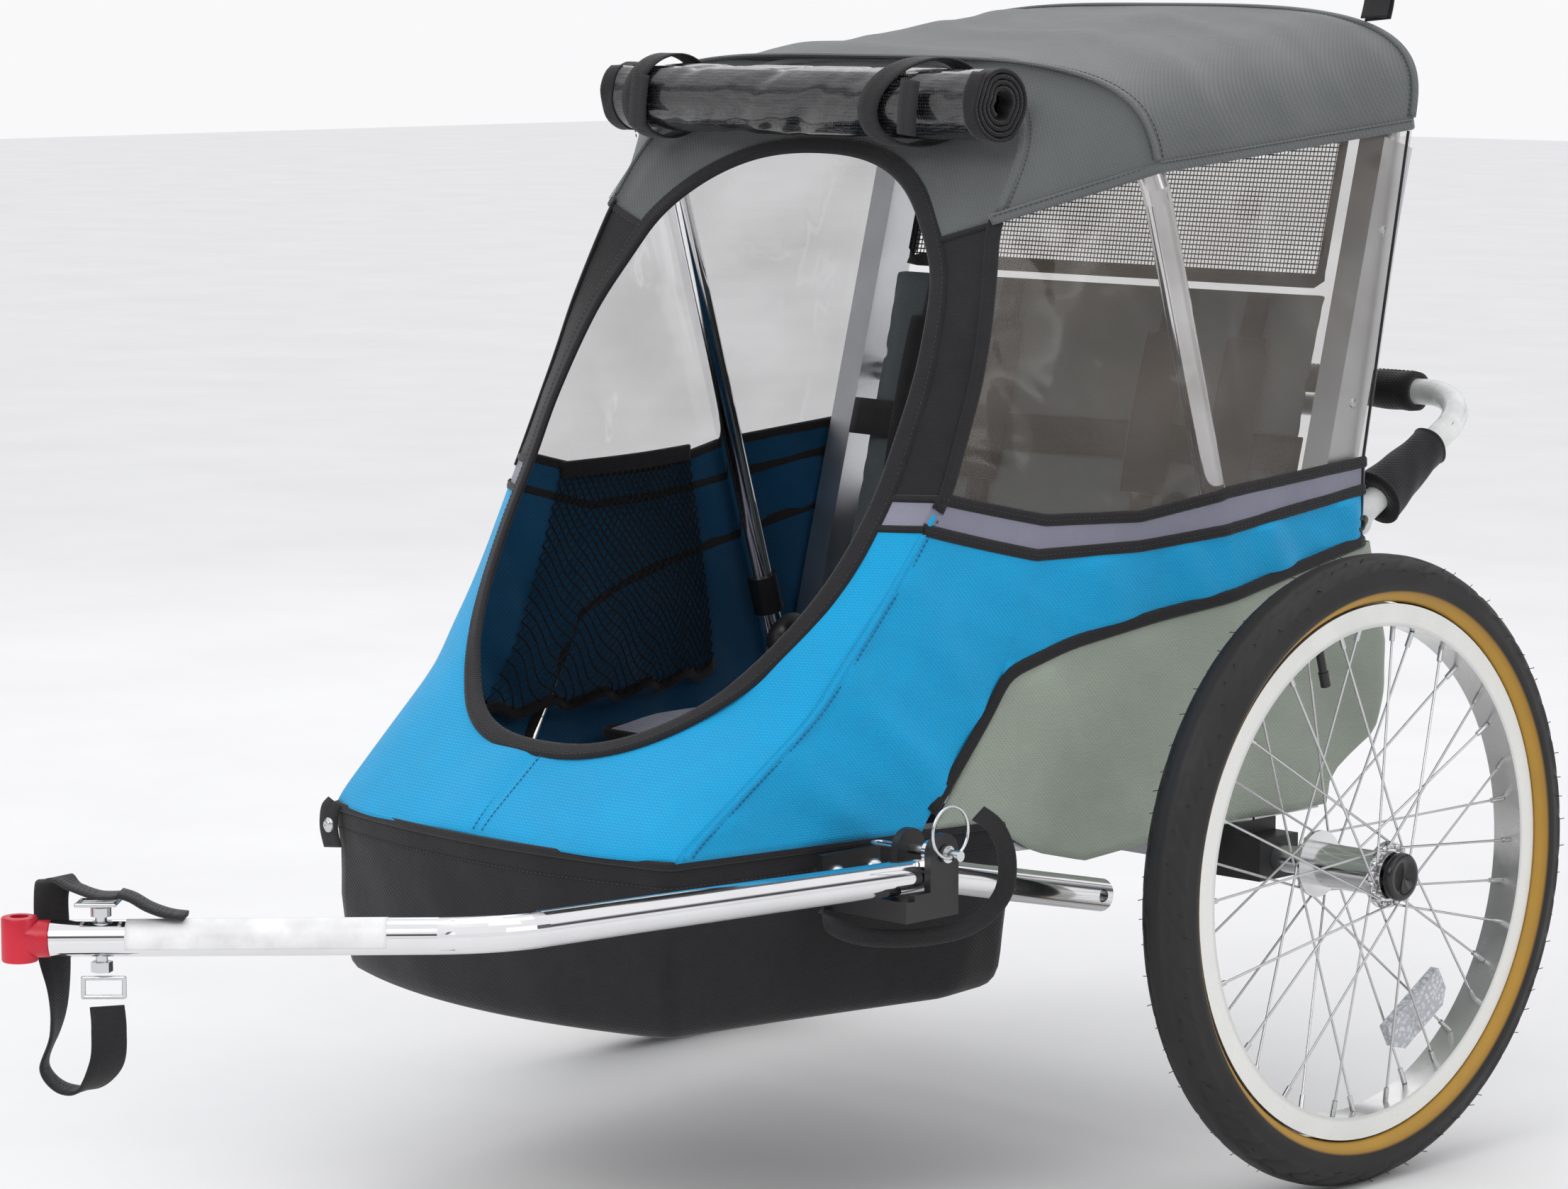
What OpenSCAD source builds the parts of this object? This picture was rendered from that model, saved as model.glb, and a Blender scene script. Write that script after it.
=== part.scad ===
// Two-wheeled child bicycle trailer: aluminium base frame with folding uprights
// and front hoop, spoked wheels on push-button stub axles, a side towing arm and
// a fabric cabin. +X is the trailer's left, -Y is forward, Z = 0 is the ground.

/* [Wheels] */
// Outer diameter of the tyre
tyre_d = 500; // [480:1:510]
// Width of the tyre
tyre_w = 47; // [40:1:50]
// Distance between the two wheel planes
track = 766; // [750:1:800]
// Number of spokes in each wheel
spoke_count = 36; // [20:4:36]

/* [Frame] */
// Width of the square frame tube
tube_w = 25; // [22:1:26]
// Depth of the uprights from front to back
upright_depth = 38; // [34:1:38]
// Diameter of the front hoop and the top bow
hoop_d = 22; // [18:1:22]
// Diameter of the towing arm
arm_d = 25.4; // [22:0.2:25.4]

/* [Cabin] */
// Half of the cabin's width, over the fabric
cabin_hw = 284; // [283:0.5:286]
// Thickness of the fabric panels
cloth_t = 2; // [1.6:0.1:2]
// Half of the front opening's width
open_hw = 194; // [170:1:196]
// Half of the front opening's height
open_hh = 222; // [190:1:224]

/* [Coupler] */
// Diameter of the hitch pin hole
hitch_pin_d = 12.8; // [9:0.1:14]

/* [Hidden] */
yc = 372.24;               // moves the axle back so that the whole length is centred on the origin
wr = tyre_d / 2;        // wheel radius and axle height
wx = track / 2;
t2 = tube_w / 2;
rail_z = 290;           // centre of the base rails
up_x = 265.5;           // centre plane of the uprights
pu = [53, 360];         // y, z of the upright pivot
ph = [17, 325];         // y, z of the hoop pivot
hoop_x = 268.4;
arm_x = 300;
arm_p = [[arm_x, -214, 248.5], [arm_x, -412, 291], [arm_x, -835, 306], [72, -1034.5, 300.2]];
pin_y = -412;
pin_z = 309;
$fn = 48;

function upy(z) = -60.4 + 0.263 * z;            // front edge of the uprights
function upc(z) = upy(z) + upright_depth / 2;
function hoopy(z) = 113.35 - 0.297 * z;         // centre line of the hoop legs
function sgn(v) = v < 0 ? -1 : 1;
function pw(v, n) = sgn(v) * pow(abs(v), n);
function lerp(a, b, t) = a + (b - a) * t;
function unit(v) = v / norm(v);

// outline of the cabin: half-width and front edge at each height
function fw(z) = lookup(z, [[303, 190], [400, 208], [480, 222], [560, 235], [640, 231], [680, 227], [720, 219], [757, 210], [820, 205], [880, 189]]);
function fe(z) = lookup(z, [[303, -567], [400, -440], [440, -409], [480, -378], [560, -324], [640, -287], [720, -258], [757, -245], [800, -216], [880, -156]]);
function fb(z) = lookup(z, [[303, 25], [480, 45], [600, 45], [640, 38], [680, 25], [720, 8], [880, 5]]);
function facey(x, z) = fe(z) - fb(z) * (1 - pow(min(1, abs(x) / fw(z)), 4));
// back edge of the side panels
function sidey(z) = lookup(z, [[262, 72], [298, 76], [328, 117], [360, 130], [405, 132], [500, 125], [560, 127], [823, 182]]);
// side surface, s = 0 at the front edge, 1 at the hoop leg, 2 at the back edge
function side_p(s, z, d = 0) = s <= 1
  ? [lerp(fw(z), cabin_hw, s) - d, lerp(fe(z), hoopy(z) - 8, s), z]
  : [cabin_hw - d, lerp(hoopy(z) - 8, sidey(z), s - 1), z];
strip_top = [[0, 557], [0.4, 534], [0.72, 531], [1.05, 544], [2, 556]];
strip_low = [[0, 535], [0.4, 508], [0.72, 508], [1.05, 516], [2, 534]];
blue_low = [[0, 304], [0.35, 304], [0.396, 417.5], [0.55, 436.5], [0.77, 451.5], [1.05, 464.5], [2, 491.5]];
hem_low = [[0, 759], [0.35, 776], [0.7, 790], [1, 798], [1.4, 802], [2, 824]];

// --- helpers -------------------------------------------------------------
module rod(a, b, d, fn = 32) {
  v = b - a; h = norm(v);
  translate(a) rotate([0, acos(v[2] / h), atan2(v[1], v[0])]) cylinder(d = d, h = h, $fn = fn);
}
module placed(o, x, y) {  // frame with origin o, first axis x and second axis y
  z = cross(x, y);
  multmatrix([[x[0], y[0], z[0], o[0]], [x[1], y[1], z[1], o[1]], [x[2], y[2], z[2], o[2]], [0, 0, 0, 1]]) children();
}
// tangent length of a bend of radius r at corner b between a and c
function tanl(a, b, c, r) = r * tan(acos(unit(b - a) * unit(c - b)) / 2);
// bend between two straight lengths: rings of m points, a hair inside the straight tube's wall
module bend(a, b, c, r, d, m = 32) {
  u = unit(b - a); v = unit(c - b); ang = acos(u * v); t = r * tan(ang / 2);
  n = unit(v - u * (u * v)); w = cross(u, n); o = b - u * t + n * r; q = d / 2 - 0.01;
  k = max(4, ceil(ang / 7));
  ph = concat([0], [for (i = [0 : k]) ang * i / k], [ang]);
  of = concat([-u * 0.8], [for (i = [0 : k]) [0, 0, 0]], [v * 0.8]);
  pts = [for (i = [0 : k + 2], j = [0 : m - 1]) let (e = u * sin(ph[i]) - n * cos(ph[i])) o + of[i] + e * r + (e * cos(j * 360 / m) + w * sin(j * 360 / m)) * q];
  f = concat([[for (j = [m - 1 : -1 : 0]) j]], [[for (j = [0 : m - 1]) (k + 2) * m + j]],
    [for (i = [0 : k + 1], j = [0 : m - 1]) each [[i * m + j, (i + 1) * m + (j + 1) % m, (i + 1) * m + j], [i * m + j, i * m + (j + 1) % m, (i + 1) * m + (j + 1) % m]]]);
  polyhedron(pts, f, convexity = 4);
}
module bent_tube(p, r, d) {
  n = len(p);
  for (i = [0 : n - 2]) {
    u = unit(p[i + 1] - p[i]);
    a = i == 0 ? p[i] : p[i] + u * tanl(p[i - 1], p[i], p[i + 1], r);
    b = i == n - 2 ? p[i + 1] : p[i + 1] - u * tanl(p[i], p[i + 1], p[i + 2], r);
    rod(a, b, d);
  }
  for (i = [1 : n - 2]) bend(p[i - 1], p[i], p[i + 1], r, d);
}
// closed sheet between two grids of points of the same size, rows x columns
module slab(A, B) {
  r = len(A); c = len(A[0]); n = r * c;
  pts = concat([for (row = A) each row], [for (row = B) each row]);
  f = concat(
    [for (i = [0 : r - 2], j = [0 : c - 2]) each [[i * c + j, i * c + j + 1, (i + 1) * c + j + 1], [i * c + j, (i + 1) * c + j + 1, (i + 1) * c + j]]],
    [for (i = [0 : r - 2], j = [0 : c - 2]) each [[n + i * c + j, n + (i + 1) * c + j + 1, n + i * c + j + 1], [n + i * c + j, n + (i + 1) * c + j, n + (i + 1) * c + j + 1]]],
    [for (j = [0 : c - 2]) each [[j, n + j, n + j + 1], [j, n + j + 1, j + 1]]],
    [for (j = [0 : c - 2]) each [[(r - 1) * c + j, (r - 1) * c + j + 1, n + (r - 1) * c + j + 1], [(r - 1) * c + j, n + (r - 1) * c + j + 1, n + (r - 1) * c + j]]],
    [for (i = [0 : r - 2]) each [[i * c, (i + 1) * c, n + (i + 1) * c], [i * c, n + (i + 1) * c, n + i * c]]],
    [for (i = [0 : r - 2]) each [[i * c + c - 1, n + i * c + c - 1, n + (i + 1) * c + c - 1], [i * c + c - 1, n + (i + 1) * c + c - 1, (i + 1) * c + c - 1]]]);
  polyhedron(pts, f, convexity = 8);
}
// flat strap along points p, with width directions w, width b and thickness t
module ribbon(p, w, b, t) {
  n = len(p);
  tg = [for (i = [0 : n - 1]) unit(p[min(n - 1, i + 1)] - p[max(0, i - 1)])];
  ww = [for (i = [0 : n - 1]) unit(w[i] - tg[i] * (w[i] * tg[i]))];
  nn = [for (i = [0 : n - 1]) cross(tg[i], ww[i])];
  pts = [for (i = [0 : n - 1]) each [p[i] + ww[i] * b / 2 + nn[i] * t / 2, p[i] - ww[i] * b / 2 + nn[i] * t / 2,
                                     p[i] - ww[i] * b / 2 - nn[i] * t / 2, p[i] + ww[i] * b / 2 - nn[i] * t / 2]];
  f = concat([[0, 1, 2, 3]], [[4 * n - 1, 4 * n - 2, 4 * n - 3, 4 * n - 4]],
    [for (i = [0 : n - 2], k = [0 : 3]) each [[4 * i + k, 4 * i + 4 + k, 4 * i + 4 + (k + 1) % 4], [4 * i + k, 4 * i + 4 + (k + 1) % 4, 4 * i + (k + 1) % 4]]]);
  polyhedron(pts, f, convexity = 6);
}
// smooth curve through control points (Catmull-Rom), m steps a span
function cr(p, i, t) = let (a = p[max(0, i - 1)], b = p[i], c = p[i + 1], d = p[min(len(p) - 1, i + 2)])
  0.5 * ((2 * b) + (c - a) * t + (2 * a - 5 * b + 4 * c - d) * t * t + (3 * b - a - 3 * c + d) * t * t * t);
function curve(p, m) = [for (i = [0 : len(p) - 2], k = [0 : m - 1]) cr(p, i, k / m), p[len(p) - 1]];
module both() { children(); mirror([1, 0, 0]) children(); }
module at_axle() translate([0, yc, 0]) children();
module xcyl(x0, x1, y, z, d, fn = 32) translate([x0, y, z]) rotate([0, 90, 0]) cylinder(d = d, h = x1 - x0, $fn = fn);
// square tube from a to b in a horizontal plane
module box_rail(a, b, w, h) {
  v = b - a; l = norm(v);
  translate(a) rotate([0, 0, atan2(v[1], v[0])]) translate([0, -w / 2, -h / 2]) difference() {
    cube([l, w, h]);
    translate([-1, 2, 2]) cube([l + 2, w - 4, h - 4]);
  }
}

// --- base frame ----------------------------------------------------------
rail_a = atan((up_x - 168) / 546);
function railx(y) = up_x - (-2 - y) * tan(rail_a);
module side_rail() difference() {
  union() {
    translate([up_x - t2, -1.5, rail_z - t2]) cube([tube_w, 81.5, tube_w]);
    translate([up_x, -2, rail_z]) rotate([0, 0, -rail_a]) translate([-t2, -554.6, -t2]) cube([tube_w, 554.6, tube_w]);
  }
  translate([up_x - t2 + 2, 12, rail_z - t2 + 2]) cube([tube_w - 4, 80, tube_w - 4]);
  translate([up_x, -2, rail_z]) rotate([0, 0, -rail_a]) translate([-t2 + 2, -560, -t2 + 2]) cube([tube_w - 4, 545, tube_w - 4]);
  for (y = [-432, -392]) xcyl(150, 240, y, 284, 8.4);
}
module side_rail_left() color("silver") at_axle() side_rail();
module side_rail_right() color("silver") at_axle() mirror([1, 0, 0]) side_rail();
module base_crossbars() color("silver") at_axle() {
  box_rail([-154, -536, rail_z], [154, -536, rail_z], tube_w, tube_w);
  box_rail([-245.8, 64, rail_z], [245.8, 64, rail_z], tube_w, tube_w);
}
module axle_tube() color("silver") at_axle()
  difference() {
    translate([-262, -12.7, wr - 12.7]) cube([524, 25.4, 25.4]);
    translate([-263, -10.2, wr - 10.2]) cube([526, 20.4, 20.4]);
  }
module axle_blocks() color("#262626") at_axle() both() difference() {
  union() {
    translate([250, -24, wr - 17]) cube([52, 48, 34]);
    translate([251, -24, wr + 16]) cube([28, 48, 27.4 - 16]);
  }
  translate([249, -12.75, wr - 12.75]) cube([13.5, 25.5, 25.5]);
  xcyl(262, 303, 0, wr, 12.7);
}
module stub_axles() color("silver") at_axle() both() {
  difference() {
    xcyl(266, 415.8, 0, wr, 12.7);
    xcyl(398, 417, 0, wr, 6.4);
  }
  difference() { xcyl(302.2, 334.6, 0, wr, 22); xcyl(302, 335, 0, wr, 12.6); }
}
module fold_brackets() color("#c8cacc") at_axle() both() difference() {
  union() {
    translate([246, 2, 279]) cube([6.8, 78, 60]);
    xcyl(246, 252.8, pu[0], pu[1], 36);
    translate([246, pu[0] - 18, 330]) cube([6.8, 36, 30]);
  }
  xcyl(245, 254, pu[0], pu[1], 10);
  xcyl(245, 254, ph[0], ph[1], 10);
}
module fold_pins() color("#d8dadc") at_axle() both() for (p = [pu, ph]) {
  xcyl(243.5, 280.2, p[0], p[1], 10);
  xcyl(279.4, 281, p[0], p[1], 17);
  xcyl(240, 245.8, p[0], p[1], 17);
}
module hitch_bracket() color("#1d1d1f") at_axle() difference() {
  union() {
    translate([222.5, -446, 262]) cube([6, 62, 38]);
    translate([222.5, -453, 262]) cube([97.5, 12, 15.6]);   // front lip that the arm rests on
    translate([222.5, -444, 262]) cube([64, 47, 8]);
    for (x = [280, 313.5]) {
      translate([x, -444, 262]) cube([6.5, 47, 20]);
      translate([x, -427, 270]) cube([6.5, 30, 39]);
      xcyl(x, x + 6.5, pin_y, pin_z, 30);
    }
  }
  xcyl(279, 321, pin_y, pin_z, 8.2);
  for (y = [-432, -392]) xcyl(220, 232, y, 284, 8.4);
}
module frame_bolts() color("#d0d2d4") at_axle() {
  for (y = [-432, -392]) {
    xcyl(railx(y) - 22, 229, y, 284, 8);
    translate([228.6, y, 284]) intersection() { sphere(d = 16, $fn = 40); translate([0, -10, -10]) cube([10, 20, 20]); }
    xcyl(railx(y) - 21, railx(y) - 14.2, y, 284, 13, 6);
  }
}

// --- towing arm ----------------------------------------------------------
arm_u = unit(arm_p[3] - arm_p[2]);
arm_end = arm_p[3];
arm_side = unit(cross([0, 0, 1], arm_u));
bolt_at = arm_end - arm_u * 34;
module hitch_arm() color("#e4e4e6") at_axle() difference() {
  union() {
    bent_tube(arm_p, 85, arm_d);
    // ear on the tube that the lock pin passes through
    xcyl(304, 311.5, pin_y, pin_z, 17);
    translate([304, pin_y - 8, 296]) cube([7.5, 16, 13]);
  }
  xcyl(303, 313, pin_y, pin_z, 8.2);
  xcyl(280, 320, -225, 250.9, 10.1);
  sphere_seat();
  translate([bolt_at[0], bolt_at[1], 280]) cylinder(d = 8.1, h = 40, $fn = 32);
}
module sphere_seat() rod(arm_end - arm_u * 12, arm_end + arm_u * 2, 18.2);
module hitch_coupler() color("#d81f33") at_axle() {
  c = arm_end + arm_u * 22;
  difference() {
    union() {
      translate(arm_end) sphere(d = 18, $fn = 40);
      rod(arm_end, c, 15);
      translate([c[0], c[1], c[2] - 15.5]) cylinder(d = 25, h = 31, $fn = 48);
    }
    translate([c[0], c[1], c[2] - 16.5]) cylinder(d = hitch_pin_d, h = 33, $fn = 40);
  }
}
module strap_bolt() color("#c9cbcd") at_axle() translate([bolt_at[0], bolt_at[1], bolt_at[2]]) {
  translate([0, 0, -20]) cylinder(d = 8, h = 41, $fn = 32);
  translate([0, 0, 15.4]) cylinder(d = 14, h = 6, $fn = 32);
  translate([0, 0, -23]) cylinder(d = 15, h = 7, $fn = 6);
}
module dring(w, h, d) {  // straight bar at the origin, bow hanging to -Y
  rod([-w / 2, 0, 0], [w / 2, 0, 0], d, 20);
  for (s = [-1, 1]) rod([s * w / 2, 0, 0], [s * w / 2, -h, 0], d, 20);
  rod([-w / 2, -h, 0], [w / 2, -h, 0], d, 20);
  for (s = [-1, 1], y = [0, -h]) translate([s * w / 2, y, 0]) sphere(d = d, $fn = 20);
}
module strap_rings() color("#c9cbcd") at_axle() {
  placed([bolt_at[0], bolt_at[1], bolt_at[2] - 27.5] + arm_side * 0, arm_u, [0, 0, 1]) translate([-1, 0, 0]) dring(28, 13, 3.2);
  placed([bolt_at[0], bolt_at[1], bolt_at[2] + 24.5] + arm_u * 2, arm_u, arm_side) translate([0, 9, 0]) dring(26, 18, 3.2);
}
// webbing strap: from the lower ring down in a loop, up past the coupler and back over the tube
strap_p = [for (q = [[-3, 0, -47], [-4, 0, -66], [-2, 0, -96], [12, 2, -122], [30, 4, -122], [42, 6, -104], [36, 10, -72],
                     [36, 26, -42], [40, 31, -8], [40, 29, 26], [33, 20, 38], [20, 9, 34], [2, 2, 29.5], [-14, 0, 29.5]])
  [bolt_at[0], bolt_at[1], bolt_at[2]] + arm_u * q[0] - arm_side * q[1] + [0, 0, q[2]]];
strap_w = [for (k = [0, 0.1, 0.3, 0.6, 0.9, 1, 1, 0.7, 0.3, 0, 0.6, 1, 1, 1]) arm_u * (1 - k) + arm_side * k + [0, 0, k < 0.05 ? 0 : 0]];
module safety_strap() color("#17171a") at_axle() ribbon(curve(strap_p, 3), curve(strap_w, 3), 24, 2.4);

module lock_pin() color("#d4d6d8") at_axle() difference() {
  union() {
    xcyl(274, 336, pin_y, pin_z, 8);
    xcyl(321, 324, pin_y, pin_z, 13);
  }
  translate([331, pin_y, pin_z]) rotate([108, 0, 0]) cylinder(d = 4, h = 14, center = true, $fn = 24);
}
module pin_ring() color("#d4d6d8") at_axle()
  translate([331, pin_y, pin_z]) rotate([18, 0, 0]) translate([0, 0, 19]) rotate([0, 90, 0]) rotate_extrude($fn = 48) translate([19, 0]) circle(d = 2.4, $fn = 16);
module wire_clip() color("#d4d6d8") at_axle() {
  for (s = [-1, 1]) rod([254, pin_y + s * 5.4, pin_z], [278, pin_y + s * 5.4, pin_z], 2.2, 20);
  translate([254, pin_y, pin_z]) rotate([0, 0, 90]) rotate_extrude(angle = 180, $fn = 40) translate([5.4, 0]) circle(d = 2.2, $fn = 20);
}
tether_p = [[333, -386, 345], [340, -366, 330], [343, -350, 300], [338, -352, 268], [322, -372, 244], [296, -404, 236], [266, -438, 240], [246, -452, 250], [236, -456, 262]];
tether_w = [[0.5, 0.2, 1], [0.7, 0.4, 0.6], [0.9, 0.6, 0.2], [0.8, 0.6, -0.3], [0.4, 0.6, -0.7], [0.3, 0.5, -0.9], [0.3, 0.3, -0.9], [0.4, 0.3, -0.9], [0.4, 0.3, -0.9]];
module pin_tether() color("#17171a") at_axle() ribbon(curve(tether_p, 3), curve(tether_w, 3), 18, 2);

// --- folding frame -------------------------------------------------------
module upright() {
  ang = atan(0.263);
  difference() {
    translate([up_x, pu[0], pu[1]]) rotate([-ang, 0, 0]) difference() {
      translate([-t2, -upright_depth / 2, -20]) cube([tube_w, upright_depth, 488]);
      translate([-t2 + 2.2, -upright_depth / 2 + 2.2, -21]) cube([tube_w - 4.4, upright_depth - 4.4, 490]);
    }
    xcyl(250, 282, pu[0], pu[1], 10.1);
  }
}
module upright_left() color("#c8cbd0") at_axle() upright();
module upright_right() color("#c8cbd0") at_axle() mirror([1, 0, 0]) upright();
module top_bow() color("#c8cbd0") at_axle() {
  b = [up_x, upc(804), 804]; c = [up_x, upc(899), 899];
  bent_tube([b, c, [-c[0], c[1], c[2]], [-b[0], b[1], b[2]]], 86, hoop_d - 2);
  // plugs that close the tops of the uprights
  both() translate([up_x, pu[0], pu[1]]) rotate([-atan(0.263), 0, 0]) difference() {
    translate([-10.1, -16.6, 430]) cube([20.2, 33.2, 42]);
    translate([-20, -20, 469]) cube([40, 40, 10]);
  }
}
module back_crossbar() color("#c8cbd0") at_axle() {
  y = upy(600) + 27;
  xcyl(-252.9, 252.9, y, 600, 19);
}
module leaning_panel(x, z0, z1, y0, t) color("#5c6068") at_axle()
  rotate([90, 0, 90]) translate([0, 0, -x]) linear_extrude(2 * x)
    polygon([[upy(z0) + y0, z0], [upy(z0) + y0 + t, z0], [upy(z1) + y0 + t, z1], [upy(z1) + y0, z1]]);
module seat_back() leaning_panel(243, 380, 697, 3, 11);
module rear_mesh() leaning_panel(228, 699, 872, 10, 3);
module harness() color("#1b1b1e") at_axle() both() {
  for (x = [70, 165]) rotate([90, 0, 90]) translate([0, 0, x - 14]) linear_extrude(28)
    polygon([[upy(400) - 4, 400], [upy(400) + 1.6, 400], [upy(640) + 1.6, 640], [upy(640) - 4, 640]]);
}
hb = [132, 507];  // y, z of the handle pivot
module handle_brackets() color("#2a2a2d") at_axle() both() difference() {
  union() {
    translate([up_x - 12, upy(507) + upright_depth + 0.9, 495]) cube([5, 24, 24]);
    xcyl(up_x - 12, up_x - 7, hb[0], hb[1], 24);
    xcyl(up_x - 12, up_x + 12, hb[0], hb[1], 10);
  }
  translate([up_x, pu[0], pu[1]]) rotate([-atan(0.263), 0, 0]) translate([-t2 - 0.1, -upright_depth / 2 - 0.1, 20]) cube([tube_w + 0.2, upright_depth + 0.2, 300]);
}
module handle_bar() color("#e6e7e8") at_axle() difference() {
  a = [up_x + 4, hb[0], hb[1]]; c = [up_x + 4, 300, 598];
  union() {
    bent_tube([a, c, [-c[0], c[1], c[2]], [-a[0], a[1], a[2]]], 55, hoop_d);
    both() xcyl(up_x - 6.5, up_x + 14, hb[0], hb[1], 22);
  }
  both() xcyl(up_x - 20, up_x + 20, hb[0], hb[1], 10.1);
}
module handle_grip() color("#1b1b1e") at_axle() difference() {
  xcyl(-196, 196, 300, 598, 34);
  xcyl(-197, 197, 300, 598, hoop_d + 0.2);
}
module front_hoop() color("#dfe0e2") at_axle() difference() {
  a = [hoop_x, hoopy(311), 311]; c = [hoop_x, hoopy(862), 862];
  bent_tube([a, c, [-c[0], c[1], c[2]], [-a[0], a[1], a[2]]], 92, hoop_d);
  both() xcyl(250, 290, ph[0], ph[1], 10.1);
}
module hoop_sleeves() color("#1d1d1f") at_axle() both() difference() {
  rod([hoop_x - 2, hoopy(396), 396], [hoop_x - 2, hoopy(428), 428], 26);
  rod([hoop_x, hoopy(380), 380], [hoop_x, hoopy(440), 440], hoop_d + 0.1);
}

// --- wheels --------------------------------------------------------------
module spin(x) translate([x, yc, wr]) rotate([0, 90, 0]) children();
module tyre() color("#1f2022") spin(wx) rotate_extrude($fn = 120) difference() {
  union() {
    difference() {
      translate([wr - tyre_w / 2, 0]) circle(d = tyre_w, $fn = 48);
      translate([wr - tyre_w / 2, 0]) circle(d = tyre_w - 7, $fn = 40);
      translate([190, -13.1]) square([22, 26.2]);
    }
    for (s = [-1, 1]) translate([212, s * 12 - 4.5]) square([2.4, 9]);
    for (s = [-1, 1]) translate([204, s * 8.8 - 1.3]) square([9, 2.6]);
  }
  translate([wr - tyre_w / 2, 0]) circle(d = 4, $fn = 16);
}
module rim() color("#eceae4") spin(wx) difference() {
  rotate_extrude($fn = 120) difference() {
    translate([194, -13]) square([17.8, 26]);
    translate([203, -10.3]) square([12, 20.6]);
    translate([196, -10.3]) square([5, 20.6]);
  }
  rotate([0, 0, valve_a]) rotate([0, 90, 0]) translate([0, 0, 188]) cylinder(d = 7, h = 18, $fn = 24);
}
module spoke_set() color("#d2d4d6") for (k = [0 : spoke_count - 1]) {
  s = k % 2 == 0 ? 1 : -1;                    // flange side
  d = floor(k / 2) % 2 == 0 ? 1 : -1;         // leading or trailing
  ar = k * 360 / spoke_count;                 // angle at the rim
  ah = ar + d * 66;                           // angle at the flange
  a = [wx - 7 + s * 36.6, 23 * cos(ah), 23 * sin(ah)];
  b = [wx + s * 3, 193.8 * cos(ar), 193.8 * sin(ar)];
  translate([0, yc, wr]) { rod(a + (d > 0 ? [s * 2.4, 0, 0] : [0, 0, 0]), b, 2, 13); rod(b + (a - b) * 0.065, b, 4.2, 16); }
}
module hub() color("#d9dadb") spin(wx - 7) difference() {
  union() {
    translate([0, 0, -34]) cylinder(d = 35, h = 68);
    for (s = [-1, 1]) translate([0, 0, s * 34 - 1.5]) cylinder(d = 53, h = 3);
    for (s = [-1, 1]) translate([0, 0, s * 37 - 4]) cylinder(d = 38, h = 8);
  }
  translate([0, 0, -50]) cylinder(d = 16, h = 100);
  for (s = [-1, 1]) translate([0, 0, s * 38 - 7]) cylinder(d = 28, h = 14);
}
module hub_bearings() color("#b9bbbd") spin(wx - 7) for (s = [-1, 1]) translate([0, 0, s * 36.4 - 4.4]) difference() {
  cylinder(d = 28, h = 8);
  translate([0, 0, -1]) cylinder(d = 12.8, h = 10);
}
valve_a = -163;
module valve() color("#191919") spin(wx) rotate([0, 0, valve_a]) rotate([0, 90, 0]) {
  translate([0, 0, 168]) cylinder(d = 6.6, h = 36, $fn = 24);
  translate([0, 0, 158]) cylinder(d = 8, h = 12, $fn = 24);
}
module reflector() color("#eef0f2") translate([wx + 2, yc, wr]) rotate([30, 0, 0]) translate([-4, 0, -143]) difference() {
  translate([0, -38, -15]) cube([8, 76, 30]);
  for (s = [-1, 1]) translate([-1, s * 38, -15]) rotate([0, 0, 0]) rotate([45, 0, 0]) translate([0, -7, -7]) cube([10, 14, 14]);
}
module push_button() color("#151516") spin(wx - 7) difference() {
  union() {
    translate([0, 0, 45.5]) cylinder(d = 36, h = 5);
    translate([0, 0, 43.3]) cylinder(d = 24, h = 3);
    translate([0, 0, 31]) cylinder(d = 6.2, h = 13);
  }
  translate([0, 0, 50]) cylinder(d = 26, h = 2);
}
module tyre_left() tyre();
module rim_left() rim();
module spokes_left() spoke_set();
module hub_left() hub();
module hub_bearings_left() hub_bearings();
module valve_left() valve();
module reflector_left() reflector();
module push_button_left() push_button();
module tyre_right() mirror([1, 0, 0]) tyre();
module rim_right() mirror([1, 0, 0]) rim();
module spokes_right() mirror([1, 0, 0]) spoke_set();
module hub_right() mirror([1, 0, 0]) hub();
module hub_bearings_right() mirror([1, 0, 0]) hub_bearings();
module valve_right() mirror([1, 0, 0]) valve();
module reflector_right() mirror([1, 0, 0]) reflector();
module push_button_right() mirror([1, 0, 0]) push_button();

// --- cabin ---------------------------------------------------------------
// outline of the foot tray, seen from above, g = distance in from the outside
function tray(g) = [for (k = [-8 : 8]) [k / 8 * (190 - g), -567 + g - 25 * (1 - pow(k / 8, 2))], [240 - g, -262], [240 - g, -236 - g], [-240 + g, -236 - g], [-240 + g, -262]];
module footwell() color("#1a1a1d") at_axle() difference() {
  union() {
    difference() {
      translate([0, 0, 167]) linear_extrude(136) polygon(tray(0));
      translate([0, 0, 170]) linear_extrude(136) polygon(tray(cloth_t));
    }
  }
  translate([-300, -290, 272]) cube([600, 90, 60]);
  for (y = [-432, -392]) xcyl(200, 240, y, 284, 11);
}
module seat_bottom() color("#3a3c42") at_axle() hull() {
  translate([-232, -252, 310]) cube([464, 286, 18]);
  translate([-222, -244, 306]) cube([444, 270, 28]);
}
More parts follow.
